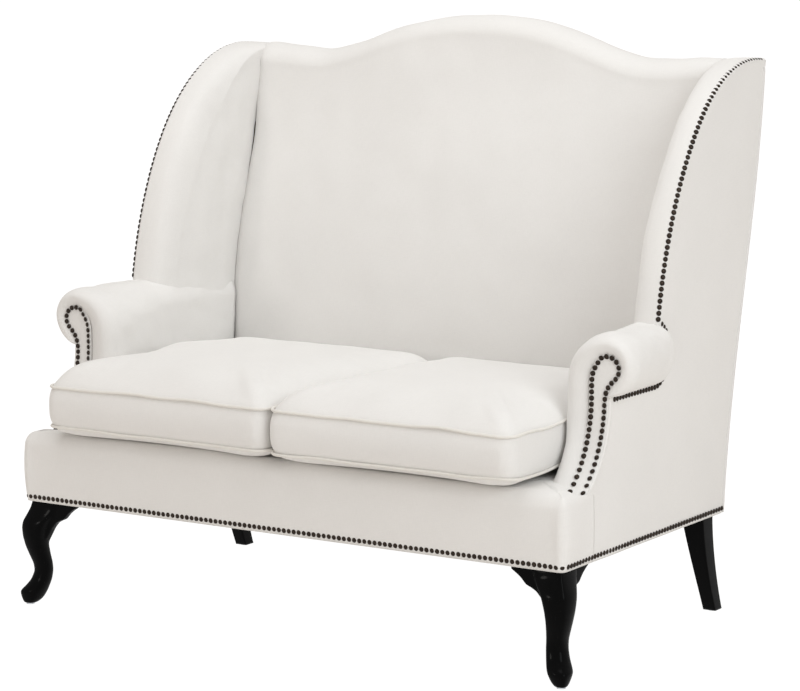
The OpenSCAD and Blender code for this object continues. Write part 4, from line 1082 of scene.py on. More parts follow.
def cushion_profile():
    """Profile of a cushion as (inset, height) from the middle of its underside to the middle of
    its top, through the two welts."""
    s = sizes()
    base, low, high, top = float(SEAT_LO[2]), s.welt_low, s.welt_high, s.welt_high + s.crown_rise
    under = refine([(MIDDLE_INSET, base), (0.15, base), (0.07, base + 0.0004), (0.03, base + 0.004),
                    (0.010, base + 0.012), (SEAM_INSET, low - 0.001)], 22)
    box = refine([(SEAM_INSET, low + 0.001), (0.0006, low + 0.010), (-0.0006, (low + high) / 2),
                  (0.0006, high - 0.010), (SEAM_INSET, high - 0.001)], 26)
    inset = SEAM_INSET + (MIDDLE_INSET - SEAM_INSET) * np.linspace(0, 1, 40) ** 1.5
    rise = 1 - (1 - np.clip((inset - SEAM_INSET) / 0.125, 0, 1)) ** 3.6
    crown = np.stack([inset, high + 0.001 + (top - high - 0.001) * rise], -1)
    return np.concatenate([under, box, crown])


def crown_share(y):
    """Height of a cushion's crown as a share: full in front, falling off towards the back."""
    return 1 - CROWN_FALL * smooth((y - 0.28) / 0.30)


def slid(points, side):
    """Points of a cushion, worked out on the right, with the fronts of both slid to the left."""
    s = sizes()
    far = float(SEAT_HI[0])
    slide = s.cushion_skew * (1 - smooth((points[..., 1] + SLIDE_BEGIN) / SLIDE_REACH))
    x = points[..., 0] + (slide if side < 0 else -slide * (1 - points[..., 0] / far))
    beside_arm = s.arm_in - 0.0035 - belly(points[..., 1], points[..., 2])
    x = np.where(points[..., 1] > ARM_BEGINS, np.minimum(x, beside_arm), x)
    return xyz(x, points[..., 1], points[..., 2])


def cushion_grid(seed, side):
    """A cushion: rings of its outline along its profile. The front bulges, the crown is uneven,
    and short puckers run from the welts."""
    s = sizes()
    profile = cushion_profile()
    grid = np.array([xyz(*cushion_outline(d).T, z) for d, z in profile])
    band = np.clip((grid[..., 2] - s.welt_low) / (s.welt_high - s.welt_low), 0, 1)
    frontness = np.clip((0.10 - (grid[..., 1] - grid[..., 1].min())) / 0.10, 0, 1)
    grid[..., 1] -= 0.006 * np.sin(np.pi * band) * frontness
    inset = profile[:, 0][:, None]
    top = np.clip((grid[..., 2] - s.welt_high) / 0.03, 0, 1)
    around = lengths(grid, 1)
    rng = np.random.RandomState(seed)
    pucker = np.zeros_like(band)
    for _ in range(PUCKERS):
        where, wide, deep = rng.uniform(0, 2.4), rng.uniform(0.008, 0.020), rng.uniform(0.0004, 0.0015)
        pucker -= deep * np.exp(-((around - where) / wide) ** 2)
    fade = np.exp(-np.clip(inset, 0, None) / 0.035) * top
    grid[..., 2] += pucker * fade
    above = np.clip(grid[..., 2] - s.welt_high, 0, None)
    grid[..., 2] -= above * (1 - crown_share(grid[..., 1]))
    level = grid * [1, 1, 0]
    grid[..., 2] += top * (0.0014 * waves(level, 0.30, seed) + 0.0010 * waves(level, 0.12, seed + 1))
    return slid(grid, side)


def corners(mesh):
    """The places of a mesh's points."""
    flat = np.empty(len(mesh.vertices) * 3)
    mesh.vertices.foreach_get("co", flat)
    return flat.reshape(-1, 3)


def baked(piece):
    """Turns a piece's modifiers into plain mesh."""
    held = bpy.context.evaluated_depsgraph_get()
    held.update()
    mesh = bpy.data.meshes.new_from_object(piece.evaluated_get(held))
    piece.modifiers.clear()
    piece.data = mesh
    return mesh


def flat_uv(mesh):
    """A UV map in metres: each face takes the two coordinates across its main way."""
    ways = np.empty(len(mesh.polygons) * 3)
    mesh.polygons.foreach_get("normal", ways)
    totals = np.empty(len(mesh.polygons), dtype=np.int32)
    mesh.polygons.foreach_get("loop_total", totals)
    used = np.empty(len(mesh.loops), dtype=np.int32)
    mesh.loops.foreach_get("vertex_index", used)
    main = np.repeat(np.abs(ways.reshape(-1, 3)).argmax(1), totals)
    points = corners(mesh)[used]
    u = np.where(main == 0, points[:, 1], points[:, 0])
    v = np.where(main == 2, points[:, 1], points[:, 2])
    mesh.uv_layers.new(name="cloth").data.foreach_set("uv", np.stack([u, v], -1).ravel())


def simulated(piece, held):
    """A piece's mesh after a short cloth simulation under inner pressure, some of its points held."""
    group = piece.vertex_groups.new(name="seams")
    group.add([int(k) for k in np.flatnonzero(held)], 1.0, "REPLACE")
    cloth = piece.modifiers.new("cloth", "CLOTH")
    cloth.settings.quality = 4
    cloth.settings.mass = 0.3
    cloth.settings.tension_stiffness = 12.0
    cloth.settings.compression_stiffness = 12.0
    cloth.settings.shear_stiffness = 5.0
    cloth.settings.bending_stiffness = 0.4
    cloth.settings.use_pressure = True
    cloth.settings.uniform_pressure_force = 4.0
    cloth.settings.vertex_group_mass = "seams"
    cloth.settings.effector_weights.gravity = 0.0
    cloth.point_cache.frame_start = 1
    cloth.point_cache.frame_end = CLOTH_FRAMES
    for step in range(1, CLOTH_FRAMES + 1):
        bpy.context.scene.frame_set(step)
    mesh = baked(piece)
    bpy.context.scene.frame_set(1)
    return mesh


def kept_clear(points, side):
    """Points of a swollen cushion, kept clear of the other cushion, the arm, the back and the deck,
    and pressed down softly to the height of its crown."""
    s = sizes()
    points = points.copy()
    reach = side * points[:, 0]
    ahead = 1 - smooth((points[:, 1] - RAIL_Y + SLIDE_BEGIN) / SLIDE_REACH)
    near = float(SEAT_LO[0]) - 0.003 - side * s.cushion_skew * ahead
    most = float(SEAT_HI[0]) + (s.cushion_skew * ahead if side < 0 else 0.0)
    wall = s.arm_in - 0.003 - belly(points[:, 1] - RAIL_Y, points[:, 2])
    wall = wall + 0.035 * (1 - smooth((points[:, 1] - RAIL_Y - 0.04) / (ARM_BEGINS - 0.04)))
    points[:, 0] = side * np.minimum(np.clip(reach, near, most), wall)
    points[:, 1] = np.minimum(points[:, 1], float(SEAT_HI[1]))
    points[:, 2] = np.maximum(points[:, 2], float(SEAT_LO[2]))
    crown = (s.crown_rise + 0.003) * crown_share(points[:, 1] - RAIL_Y)
    free, rest = s.welt_high + CROWN_FREE * crown, (1 - CROWN_FREE) * crown
    over = points[:, 2] - free
    points[:, 2] = np.where(over > 0, free + rest * np.tanh(over / rest), points[:, 2])
    return points


def filled(piece, side):
    """Lets a cushion's filling push out its cloth: an even mesh, then a cloth simulation with its
    two seams held. No point moves too far, and the corners move least."""
    s = sizes()
    even = piece.modifiers.new("even", "REMESH")
    even.mode, even.voxel_size, even.use_smooth_shade = "VOXEL", CLOTH_STEP, True
    start = corners(baked(piece))
    rim = np.minimum(start[:, :2] - start[:, :2].min(0), start[:, :2].max(0) - start[:, :2])
    off_seam = np.minimum(np.abs(start[:, 2] - s.welt_low), np.abs(start[:, 2] - s.welt_high))
    mesh = simulated(piece, (off_seam < HELD_HEIGHT) & (rim.min(1) < HELD_RIM))
    move = corners(mesh) - start
    far = np.linalg.norm(move, axis=1, keepdims=True)
    move *= s.cushion_swell * np.tanh(far / s.cushion_swell) / np.maximum(far, 1e-9)
    move *= mix(CORNER_SWELL, 1.0, smooth((np.hypot(*rim.T) - 0.03) / 0.15))[:, None]
    mesh.vertices.foreach_set("co", kept_clear(start + move, side).ravel())
    mesh.update()
    flat_uv(mesh)
    piece.vertex_groups.clear()
    even_out = piece.modifiers.new("even_out", "SMOOTH")
    even_out.factor, even_out.iterations = 0.5, 5
    finer = piece.modifiers.new("finer", "SUBSURF")
    finer.levels = finer.render_levels = s.render_levels


class SETTEE_OT_seat_cushions(bpy.types.Operator):
    """Builds the two loose seat cushions and their welts"""
    bl_idname = "settee.seat_cushions"
    bl_label = "Seat cushions"

    def execute(self, context):
        """Each cushion is a closed form, with a welt tube along each of its two seams."""
        s = sizes()
        for name, side in SIDES.items():
            grid = mirrored(cushion_grid(71 + side, side), side)
            piece = build("seat_cushion_cover_" + name, grid, finish("cushion_cloth"), loop_v=True, caps=True)
            filled(piece, side)
            dress(piece, name + "_cushion", "cushion_cloth", "seat_cushion_" + name, fill=0.85)
            welts = []
            for z, seed in ((s.welt_low, 81), (s.welt_high, 83)):
                line = xyz(*cushion_outline(0.0010).T, z)
                line[:, 2] += 0.0012 * waves(line, 0.14, seed + side)
                grid = mirrored(tube(slid(line, side), s.welt_r, 10), side)
                welts.append(build("welt", grid, finish("welt_cloth"), loop_u=True, loop_v=True))
            dress(join("cushion_welt_cover_" + name, welts), name + "_cushion", "welt_cloth",
                  "cushion_welts_" + name)
        return {"FINISHED"}


def tube(line, radius, sides):
    """A tube round a closed level line: rings square to it."""
    way = np.roll(line, -1, 0) - np.roll(line, 1, 0)
    way /= np.linalg.norm(way, axis=1, keepdims=True)
    across = np.cross(way, [0.0, 0.0, 1.0])
    across /= np.linalg.norm(across, axis=1, keepdims=True)
    up = np.cross(across, way)
    a = np.linspace(0, 2 * np.pi, sides, endpoint=False)
    return line[:, None, :] + radius * (np.cos(a)[None, :, None] * across[:, None, :]
                                        + np.sin(a)[None, :, None] * up[:, None, :])


def join(name, pieces):
    """One object from several."""
    bpy.ops.object.select_all(action="DESELECT")
    for piece in pieces:
        piece.select_set(True)
    bpy.context.view_layer.objects.active = pieces[0]
    bpy.ops.object.join()
    joined = bpy.context.view_layer.objects.active
    joined.name = name
    joined.data.name = name
    joined.select_set(False)
    return joined


def block_grid(lo, hi, r):
    """A low pad: a box with rounded edges, as rings from its underside to its top."""
    a = np.linspace(0, np.pi / 2, 6)
    profile = [(0.2, lo[2]), (0.1, lo[2])]
    profile += [(r * (1 - math.sin(k)), lo[2] + r * (1 - math.cos(k))) for k in a]
    profile += [(r * (1 - math.cos(k)), hi[2] - r * (1 - math.sin(k))) for k in a]
    profile += [(d, hi[2]) for d in (0.05, 0.1, 0.16, 0.24)]
    rows = []
    for d, z in profile:
        x0, x1, y0, y1 = lo[0] + d, hi[0] - d, lo[1] + d, hi[1] - d
        xs, ys = np.linspace(x0, x1, 60), np.linspace(y0, y1, 40)[1:-1]
        sides = (xs, y0), (x1, ys), (xs[::-1], y1), (x0, ys[::-1])
        rows.append(np.concatenate([xyz(x, y, z) for x, y in sides]))
    return np.array(rows)


def node_box(node):
    """Lowest and highest corner of a node, with y from the rail's face."""
    lo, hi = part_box(node)
    return np.array(lo) - [0, RAIL_Y, 0], np.array(hi) - [0, RAIL_Y, 0]


class SETTEE_OT_seat_deck(bpy.types.Operator):
    """Builds the deck under the cushions, the hessian, the webbing and the dust cover"""
    bl_idname = "settee.seat_deck"
    bl_label = "Seat deck and linings"

    def execute(self, context):
        """Thin closed sheets and one low pad in the places of their nodes."""
        lo, hi = node_box("seat_deck_pad")
        grid = block_grid(lo, hi - [0, 0, 0.0003], 0.006)
        cover("seat_deck_cover", grid, "deck_cloth", "seat_deck_pad", 0.5)
        for node, slot, sag in (("seat_hessian", "jute", 0.0), ("dust_cover", "dust_cloth", 0.004)):
            lo, hi = node_box(node)
            self.lining(node, slot, lo, hi, sag)
        self.webbing()
        return {"FINISHED"}

    def lining(self, node, slot, lo, hi, sag):
        """A flat cloth that sags a little in the middle of its frame. The dust cover's front corners
        are cut away beside the legs."""
        xs, ys = np.linspace(lo[0], hi[0], 60), np.linspace(lo[1], hi[1], 40)
        x, y = np.meshgrid(xs, ys, indexing="ij")
        low = sag * np.sin(np.pi * (x - lo[0]) / (hi[0] - lo[0]))
        low = low * np.sin(np.pi * (y - lo[1]) / (hi[1] - lo[1]))
        if node == "dust_cover":
            notch = lo[1] + 0.035
            y = np.where((np.abs(x) < hi[0] - 0.03) | (y > notch), y, notch)
        sheet = xyz(x, y, hi[2] - low)
        under = sheet - [0, 0, hi[2] - lo[2]]
        grid = np.concatenate([sheet, under[:, ::-1]], 1)
        piece = build(node + "_cloth", grid, finish(slot), loop_v=True, caps=True)
        dress(piece, "settee", slot, node)

    def webbing(self):
        """Upright straps on the face of the back frame, one for each in the node."""
        s = sizes()
        lo, hi = node_box("back_webbing")
        half = 0.025
        straps = []
        for place in (-0.76, -0.38, 0.0, 0.38, 0.76):
            x = place * s.wing_in
            z = np.linspace(lo[2], min(hi[2], crest(abs(x) + half) - 0.026), 50)[:, None]
            sheet = xyz(x + np.linspace(-half, half, 9)[None, :], rear_y(z) - 0.0416, z)
            grid = np.concatenate([sheet, (sheet - [0, 0.002, 0])[:, ::-1]], 1)
            straps.append(build("strap", grid, finish("jute"), loop_v=True, caps=True))
        dress(join("back_webbing_straps", straps), "settee", "jute", "back_webbing")


# Nails

# Height of the base's nails above its underside
BASE_NAILS_UP = 0.010
# Rings of a nail head, as shares of its radius and height
NAIL_SHARES = ((0.15, -0.15), (0.93, -0.15), (1.0, 0.05), (0.90, 0.42), (0.66, 0.76), (0.36, 0.95),
               (0.10, 1.0))


def nail_mesh():
    """A domed nail head: rings of points on a cap of a sphere, closed underneath."""
    s = sizes()
    a = np.linspace(0, 2 * np.pi, 14, endpoint=False)
    return np.array([xyz(s.nail_r * r * np.cos(a), s.nail_r * r * np.sin(a), s.nail_h * h)
                     for r, h in NAIL_SHARES])


def nail_row(name, places, ways, node, seed):
    """Nail heads at their places, each turned to its way and tilted a little at random."""
    rng = np.random.RandomState(seed)
    head = nail_mesh()
    faces, _ = grid_faces(head.shape[0], head.shape[1], False, True, True)
    flat = head.reshape(-1, 3)
    if signed_volume(flat, faces) < 0:
        faces = faces[:, ::-1]
    places, ways = np.asarray(places), np.asarray(ways)
    ways = ways + rng.normal(scale=0.05, size=ways.shape)
    ways /= np.linalg.norm(ways, axis=1, keepdims=True)
    side = np.cross(ways, [0.31, 0.47, 0.83])
    side /= np.linalg.norm(side, axis=1, keepdims=True)
    third = np.cross(ways, side)
    size = rng.uniform(0.97, 1.03, size=len(places))
    turned = (flat[None, :, 0:1] * side[:, None, :] + flat[None, :, 1:2] * third[:, None, :]
              + flat[None, :, 2:3] * ways[:, None, :])
    points = (places[:, None, :] + turned * size[:, None, None]).reshape(-1, 3) + [0, RAIL_Y, 0]
    every = (faces[None] + (np.arange(len(places)) * len(flat))[:, None, None]).reshape(-1, 4)
    piece = placed(name, quad_mesh(name, points, every), finish("nail_heads"))
    dress(piece, "settee", "nail_heads", node)


def front_nails():
    """Places and ways of the nails along the front of the base and half round its corners."""
    s = sizes()
    z, r = s.leg_h + BASE_NAILS_UP, s.border_corner_r
    a = np.radians(np.linspace(0, 45, 6))
    turn = xyz(s.half_w - r + r * np.sin(a), r - r * np.cos(a), z)
    places = along(np.concatenate([turn[::-1] * [-1, 1, 1], turn]), s.nail_pitch)
    past = np.clip(np.abs(places[:, 0]) - s.half_w + r, 0, r) / r
    return places, xyz(np.sign(places[:, 0]) * past, -np.sqrt(1 - past ** 2), 0.0)


def panel_nails(chain):
    """Places and ways of nails on the right side panel, from a chain of y and z. The first ones
    stand out with the swollen end of the border."""
    s = sizes()
    spots = along(chain, s.nail_pitch)
    out = 0.0024 * (1 - smooth((spots[:, 0] - 0.02) / 0.09))
    places = xyz(s.half_w + out, spots[:, 0], spots[:, 1])
    return places, np.broadcast_to([1.0, 0.0, 0.0], places.shape)


def side_chain():
    """The line of nails along the side of the base, as y and z."""
    s = sizes()
    z = s.leg_h + BASE_NAILS_UP
    return [[s.border_corner_r + 0.002, z], [float(rear_y(z)) - 0.016, z]]


def underarm_chain():
    """The line of nails under a roll and round its end, as y and z."""
    s = sizes()
    _, rz = roll_middle()
    a = np.radians(np.linspace(-90, 62, 50))
    deep, tall = s.roll_end_d + s.underarm_gap, s.roll_r + s.underarm_gap
    round_end = [s.roll_end_y, rz] + np.stack([deep * np.cos(a), tall * np.sin(a)], -1)
    return np.concatenate([[[s.arm_front_y + 0.018, rz - tall]], round_end])


def wing_nails():
    """Places and ways of the nails along a wing's edge. Near its top they turn upwards."""
    s = sizes()
    edge = along(wing_edge(np.full(160, 0.0027), np.linspace(0.012, 0.985, 160)), s.nail_pitch)
    outward = beside(edge, 1.0) - edge
    flat = smooth((outward[:, 1:] - 0.55) / 0.4)
    places = np.concatenate([s.half_w - 0.0027 - 0.0038 * flat, edge - 0.0003 * flat * outward], 1)
    return places, np.concatenate([1 - 0.75 * flat, outward], 1)


def arm_nails():
    """Places and ways of the nails round an arm's facing. They follow the lean of its front and
    turn to the middle of the facing, those of the outer column less."""
    s = sizes()
    spots = along(facing_chain(s.arm_foot + 0.015), s.nail_pitch)
    inward = beside(spots, -1.0) - spots
    lean = np.arcsin(np.clip((s.sweep_z - spots[:, 1]) / s.sweep_r, 0, 1))
    tilt = s.nail_tilt * np.where(spots[:, 0] > s.outer_nail_x - 0.004, 0.2, 1.0)
    ways = xyz(tilt * inward[:, 0], -np.cos(lean), np.sin(lean) + tilt * inward[:, 1])
    return xyz(spots[:, 0], arm_front(spots[:, 1]) - 0.0052, spots[:, 1]), ways


class SETTEE_OT_nails(bpy.types.Operator):
    """Sets the rows of domed nail heads"""
    bl_idname = "settee.nails"
    bl_label = "Nail heads"

    def execute(self, context):
        """Rows along the base, under the rolls, on the wings' edges and round the arms' facings."""
        nail_row("front_nail_heads", *front_nails(), "front_nails", 91)
        rows = (("side_nails_heads_", panel_nails(side_chain()), "side_nails_", 93),
                ("underarm_nails_heads_", panel_nails(underarm_chain()), "underarm_nails_", 100),
                ("wing_nails_heads_", wing_nails(), "wing_nails_", 111),
                ("arm_nail_heads_", arm_nails(), "arm_nails_", 131))
        for name, side in SIDES.items():
            for heads, (places, ways), node, seed in rows:
                nail_row(heads + name, mirrored(places, side), mirrored(ways, side), node + name, seed + side)
        return {"FINISHED"}


# Legs

# Fineness of the remesh that fuses a front leg with its ears
LEG_STEP = 0.0019
# Reach of an ear from the frame's corner, and powers of the round sections of ears and back legs
EAR_REACH = 0.124
EAR_POWER, BACK_LEG_POWER = 0.35, 0.14
# Width and depth of a back leg's foot, depth of its top, and how far it kicks back
BACK_FOOT_W, BACK_FOOT_D, BACK_TOP_D, BACK_KICK = 0.030, 0.032, 0.050, 0.058
# Sections of a front leg from foot to block, as shares: height of the bare leg, how far the middle
# lies inside the frame's corner, half depth and half width of the block's side, and squareness
FRONT_LEG_SHARES = np.array([
    [0.000, 0.11, 0.21, 0.19, 1.6], [0.025, 0.17, 0.33, 0.28, 1.5], [0.070, 0.21, 0.42, 0.36, 1.45],
    [0.120, 0.24, 0.49, 0.43, 1.45], [0.160, 0.36, 0.43, 0.42, 1.5], [0.225, 0.51, 0.37, 0.39, 1.5],
    [0.310, 0.60, 0.33, 0.37, 1.5], [0.385, 0.57, 0.34, 0.37, 1.5], [0.460, 0.48, 0.37, 0.40, 1.5],
    [0.555, 0.38, 0.41, 0.45, 1.45], [0.650, 0.34, 0.46, 0.51, 1.4], [0.740, 0.40, 0.55, 0.57, 1.35],
    [0.800, 0.52, 0.63, 0.61, 1.3], [0.860, 0.74, 0.72, 0.66, 1.25], [0.930, 0.88, 0.72, 0.69, 1.15],
    [1.000, 0.94, 0.707, 0.707, 1.1]])

# Underside of an ear: distance from the frame's corner as a share of the ear's reach, and depth
# under the rail as a share of the leg's height
EAR_SHARES = np.array([
    [0.20, 0.470], [0.27, 0.430], [0.36, 0.350], [0.45, 0.268], [0.55, 0.207], [0.64, 0.180],
    [0.73, 0.160], [0.82, 0.104], [0.91, 0.066], [1.00, 0.035]])


def cabriole_grid():
    """A front leg: level sections, rounded diamonds that sharpen towards the frame, their middles on
    an S that runs out through the corner of the frame."""
    s = sizes()
    marks = np.linspace(0, 1, 90)
    table = [np.interp(marks, FRONT_LEG_SHARES[:, 0], FRONT_LEG_SHARES[:, k]) for k in range(1, 5)]
    kernel = np.array([1, 2, 3, 2, 1]) / 9.0
    inside, deep, wide, power = [np.concatenate([v[:2], np.convolve(v, kernel, "valid"), v[-2:]])
                                 for v in table]
    a = np.linspace(0, 2 * np.pi, 64, endpoint=False)
    rows = []
    for m, i, d, w, p in zip(marks, inside, deep, wide, power):
        c, n = squarish(a, 2 / p)
        out, side = s.block_w * (d * c - i), s.block_w * w * n
        z = mix(s.glide_t, s.leg_h - 0.0002, m)
        rows.append(xyz(s.half_w + (out + side) / math.sqrt(2), (side - out) / math.sqrt(2), z))
    return np.array(rows)


def ear_grid(swap):
    """An ear beside the knee: its underside falls in two sweeps from the tip to the knee, and its
    thickness swells towards the knee and the rail."""
    s = sizes()
    root, set_in = s.block_inset + 0.35 * s.block_w, s.block_inset + 0.002
    cx, cz = squarish(np.linspace(0, 2 * np.pi, 32, endpoint=False) + np.pi / 4, EAR_POWER)
    rows = []
    for t in np.linspace(0, 1, 40):
        u = mix(root, EAR_REACH, t)
        low = s.leg_h * (1 - np.interp(u / EAR_REACH, EAR_SHARES[:, 0], EAR_SHARES[:, 1]))
        thick = mix(0.046, 0.030, t) * mix(0.55, 1.0, (cz + 1) / 2)
        across = set_in + thick / 2 * (1 + cx)
        z = mix(low, s.leg_h - 0.0002, (cz + 1) / 2)
        rows.append(xyz(s.half_w - across, u, z) if swap else xyz(s.half_w - u, across, z))
    return np.array(rows)


class SETTEE_OT_front_legs(bpy.types.Operator):
    """Builds the two cabriole legs with their ears"""
    bl_idname = "settee.front_legs"
    bl_label = "Front legs"

    def execute(self, context):
        """Leg and ears are fused by a fine remesh and smoothed, so the knee flows into them."""
        for name, side in SIDES.items():
            grids = [cabriole_grid(), ear_grid(False), ear_grid(True)]
            parts = [build("leg_part", mirrored(grid, side), finish("black_lacquer"), loop_v=True, caps=True)
                     for grid in grids]
            leg = join("front_leg_carved_" + name, parts)
            fuse = leg.modifiers.new("fuse", "REMESH")
            fuse.mode, fuse.voxel_size, fuse.use_smooth_shade = "VOXEL", LEG_STEP, True
            soften = leg.modifiers.new("soften", "SMOOTH")
            soften.factor, soften.iterations = 0.5, 10
            mesh = baked(leg)
            points = corners(mesh)
            points[:, 2] = np.clip(points[:, 2], sizes().glide_t, sizes().leg_h - 0.0001)
            mesh.vertices.foreach_set("co", points.ravel())
            mesh.shade_smooth()
            dress(leg, "settee", "black_lacquer", "front_leg_" + name)
        return {"FINISHED"}


class SETTEE_OT_back_legs(bpy.types.Operator):
    """Builds the two sabre legs at the back"""
    bl_idname = "settee.back_legs"
    bl_label = "Back legs"

    def execute(self, context):
        """Square sections with eased corners, swept backwards along a power curve."""
        s = sizes()
        lo, hi = node_box("back_leg_right")
        cx, cy = squarish(np.linspace(0, 2 * np.pi, 48, endpoint=False) + np.pi / 4, BACK_LEG_POWER)
        rows = []
        for u in np.linspace(1, 0, 50):
            d, w = mix(BACK_TOP_D, BACK_FOOT_D, u), mix(BACK_FOOT_W, hi[0] - lo[0], (1 - u) ** 1.7)
            y = lo[1] + BACK_TOP_D / 2 + BACK_KICK * u ** 1.7
            x = hi[0] - w / 2
            rows.append(xyz(x + cx * w / 2, y + cy * d / 2, mix(s.leg_h, s.glide_t, u)))
        for name, side in SIDES.items():
            piece = build("back_leg_shaped_" + name, mirrored(np.array(rows), side), finish("black_lacquer"),
                          loop_v=True, caps=True)
            dress(piece, "settee", "black_lacquer", "back_leg_" + name)
        return {"FINISHED"}


# Stage

# Camera that the photograph's straight edges give: focal length and width in pixels, place in metres,
# and degrees down and to the left
PICTURE_WIDTH_PX = 800
CAMERA_FOCAL_PX = 3037.37
CAMERA_PLACE = (3.44258, -4.95946, 1.52135)
CAMERA_DOWN = 8.546
CAMERA_TURN = 32.438
# Strength and colour of the world as light, and the colour sockets of a Mix node
WORLD_LEVEL = 0.505
WORLD_HUE = (1.0, 0.932, 0.872, 1.0)
COLOUR_A, COLOUR_B, COLOUR_RESULT = 6, 7, 2
# Lamps: name, place, aim, width, power and colour
LAMPS = (
    ("lamp_above", (-0.2, -0.55, 3.9), (0.0, 0.2, 0.5), 3.0, 53.0, (0.96, 0.985, 1.0)),
    ("lamp_right", (3.2, -1.5, 2.1), (0.1, 0.3, 0.7), 2.4, 50.0, (0.93, 0.975, 1.0)),
    ("lamp_left", (-1.7, -3.6, 1.1), (-0.1, 0.0, 0.35), 0.6, 11.0, (1.0, 0.965, 0.93)),
)


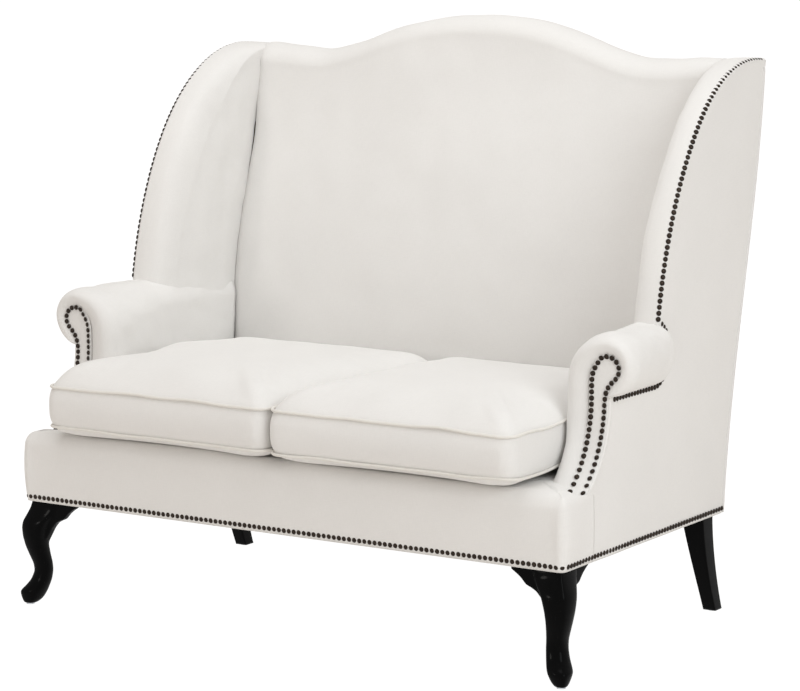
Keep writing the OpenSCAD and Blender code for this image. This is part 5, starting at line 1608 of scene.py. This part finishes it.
class SETTEE_OT_stage(bpy.types.Operator):
    """Sets the floor, the light and the camera"""
    bl_idname = "settee.stage"
    bl_label = "Floor, light and camera"

    def execute(self, context):
        """A white floor, a warm world with three lamps, and the photograph's own view."""
        self.floor()
        self.light(context)
        self.camera(context)
        return {"FINISHED"}

    def floor(self):
        """A wide white floor that shows as white and keeps a soft shadow."""
        across = np.linspace(-60, 60, 8)
        faces, _ = grid_faces(8, 8, False, False, False)
        m = Nodes("floor_white")
        m.set(Base_Color=(0.95, 0.92, 0.89, 1.0), Roughness=0.9, Specular_IOR_Level=0.1)
        ray = m.add("ShaderNodeLightPath")
        seen = m.math("MAXIMUM", ray.outputs["Is Camera Ray"], ray.outputs["Is Glossy Ray"])
        seen = m.math("MAXIMUM", seen, ray.outputs["Is Transmission Ray"])
        glow = m.add("ShaderNodeEmission", in_Color=(1.0, 1.0, 1.0, 1.0), in_Strength=1.15).outputs[0]
        part = m.math("MULTIPLY", seen, 0.86)
        blend = m.add("ShaderNodeMixShader", in_0=part, in_1=m.shader.outputs[0], in_2=glow)
        m.tree.links.new(blend.outputs[0], m.tree.nodes["Material Output"].inputs["Surface"])
        sheet = xyz(across[:, None], across[None, :], 0.0).reshape(-1, 3)
        placed("floor", quad_mesh("floor", sheet, faces), m.material)

    def light(self, context):
        """An even warm world that shows as white, a broad lamp above, a broad one from the right and a
        small one low in front."""
        world = bpy.data.worlds.new("studio")
        world.use_nodes = True
        tree = world.node_tree
        back = tree.nodes["Background"]
        ray = tree.nodes.new("ShaderNodeLightPath")
        seen = ray.outputs["Is Camera Ray"]
        for kind in ("Is Glossy Ray", "Is Transmission Ray"):
            both = tree.nodes.new("ShaderNodeMath")
            both.operation = "MAXIMUM"
            tree.links.new(seen, both.inputs[0])
            tree.links.new(ray.outputs[kind], both.inputs[1])
            seen = both.outputs[0]
        hue = tree.nodes.new("ShaderNodeMix")
        hue.data_type = "RGBA"
        hue.inputs[COLOUR_A].default_value = WORLD_HUE
        hue.inputs[COLOUR_B].default_value = (1.0, 1.0, 1.0, 1.0)
        tree.links.new(seen, hue.inputs["Factor"])
        tree.links.new(hue.outputs[COLOUR_RESULT], back.inputs["Color"])
        level = tree.nodes.new("ShaderNodeMix")
        level.inputs["A"].default_value = WORLD_LEVEL
        level.inputs["B"].default_value = 1.0
        tree.links.new(seen, level.inputs["Factor"])
        tree.links.new(level.outputs["Result"], back.inputs["Strength"])
        context.scene.world = world
        for name, place, aim, size, power, colour in LAMPS:
            lamp = bpy.data.lights.new(name, "AREA")
            lamp.shape = "DISK"
            lamp.size = size
            lamp.energy = power
            lamp.color = colour
            rig = bpy.data.objects.new(name, lamp)
            context.scene.collection.objects.link(rig)
            away = np.array(place) - np.array(aim)
            flat = math.hypot(away[0], away[1])
            rig.location = place
            rig.rotation_euler = (math.atan2(flat, away[2]), 0.0, math.atan2(away[0], -away[1]))

    def camera(self, context):
        """The view that the photograph's straight edges give."""
        cam = bpy.data.cameras.new("camera")
        cam.sensor_width = 36.0
        cam.lens = CAMERA_FOCAL_PX / PICTURE_WIDTH_PX * cam.sensor_width
        rig = bpy.data.objects.new("camera", cam)
        rig.location = (CAMERA_PLACE[0], CAMERA_PLACE[1] + RAIL_Y, CAMERA_PLACE[2])
        rig.rotation_euler = (math.radians(90.0 - CAMERA_DOWN), 0.0, math.radians(CAMERA_TURN))
        context.scene.collection.objects.link(rig)
        context.scene.camera = rig


OPERATORS = (
    SETTEE_OT_stage, SETTEE_OT_frame_finishes, SETTEE_OT_front_border, SETTEE_OT_inside_back,
    SETTEE_OT_outside_back, SETTEE_OT_arms, SETTEE_OT_arm_facings, SETTEE_OT_wings,
    SETTEE_OT_side_panels, SETTEE_OT_seat_cushions, SETTEE_OT_seat_deck, SETTEE_OT_nails,
    SETTEE_OT_front_legs, SETTEE_OT_back_legs)


class SETTEE_PT_panel(bpy.types.Panel):
    """Lists the settee's pieces, sizes and colours"""
    bl_label = "Settee"
    bl_idname = "SETTEE_PT_panel"
    bl_space_type = "VIEW_3D"
    bl_region_type = "UI"
    bl_category = "Settee"

    def draw(self, context):
        """One button for each operator, then the sizes and the colours."""
        for operator in OPERATORS:
            self.layout.operator(operator.bl_idname)
        for group in (context.scene.settee_sizes, context.scene.settee_colours):
            column = self.layout.column()
            for key in group.__annotations__:
                column.prop(group, key)


CLASSES = (SetteeSizes, SetteeColours) + OPERATORS + (SETTEE_PT_panel,)


def register():
    """Registers the classes and hangs the two groups on the scene."""
    for cls in CLASSES:
        bpy.utils.register_class(cls)
    bpy.types.Scene.settee_sizes = bpy.props.PointerProperty(type=SetteeSizes)
    bpy.types.Scene.settee_colours = bpy.props.PointerProperty(type=SetteeColours)


def unregister():
    """Takes the groups and the classes away again."""
    del bpy.types.Scene.settee_colours
    del bpy.types.Scene.settee_sizes
    for cls in reversed(CLASSES):
        bpy.utils.unregister_class(cls)


def run(operator):
    """Calls one operator and stops the script if it didn't finish."""
    area, name = operator.bl_idname.split(".")
    if getattr(getattr(bpy.ops, area), name)() != {"FINISHED"}:
        raise RuntimeError(operator.bl_label + " did not finish")


def main():
    """Builds everything."""
    register()
    bpy.context.scene.view_settings.view_transform = "Standard"
    for operator in OPERATORS:
        run(operator)
    bpy.context.view_layer.update()


if __name__ == "__main__":
    main()
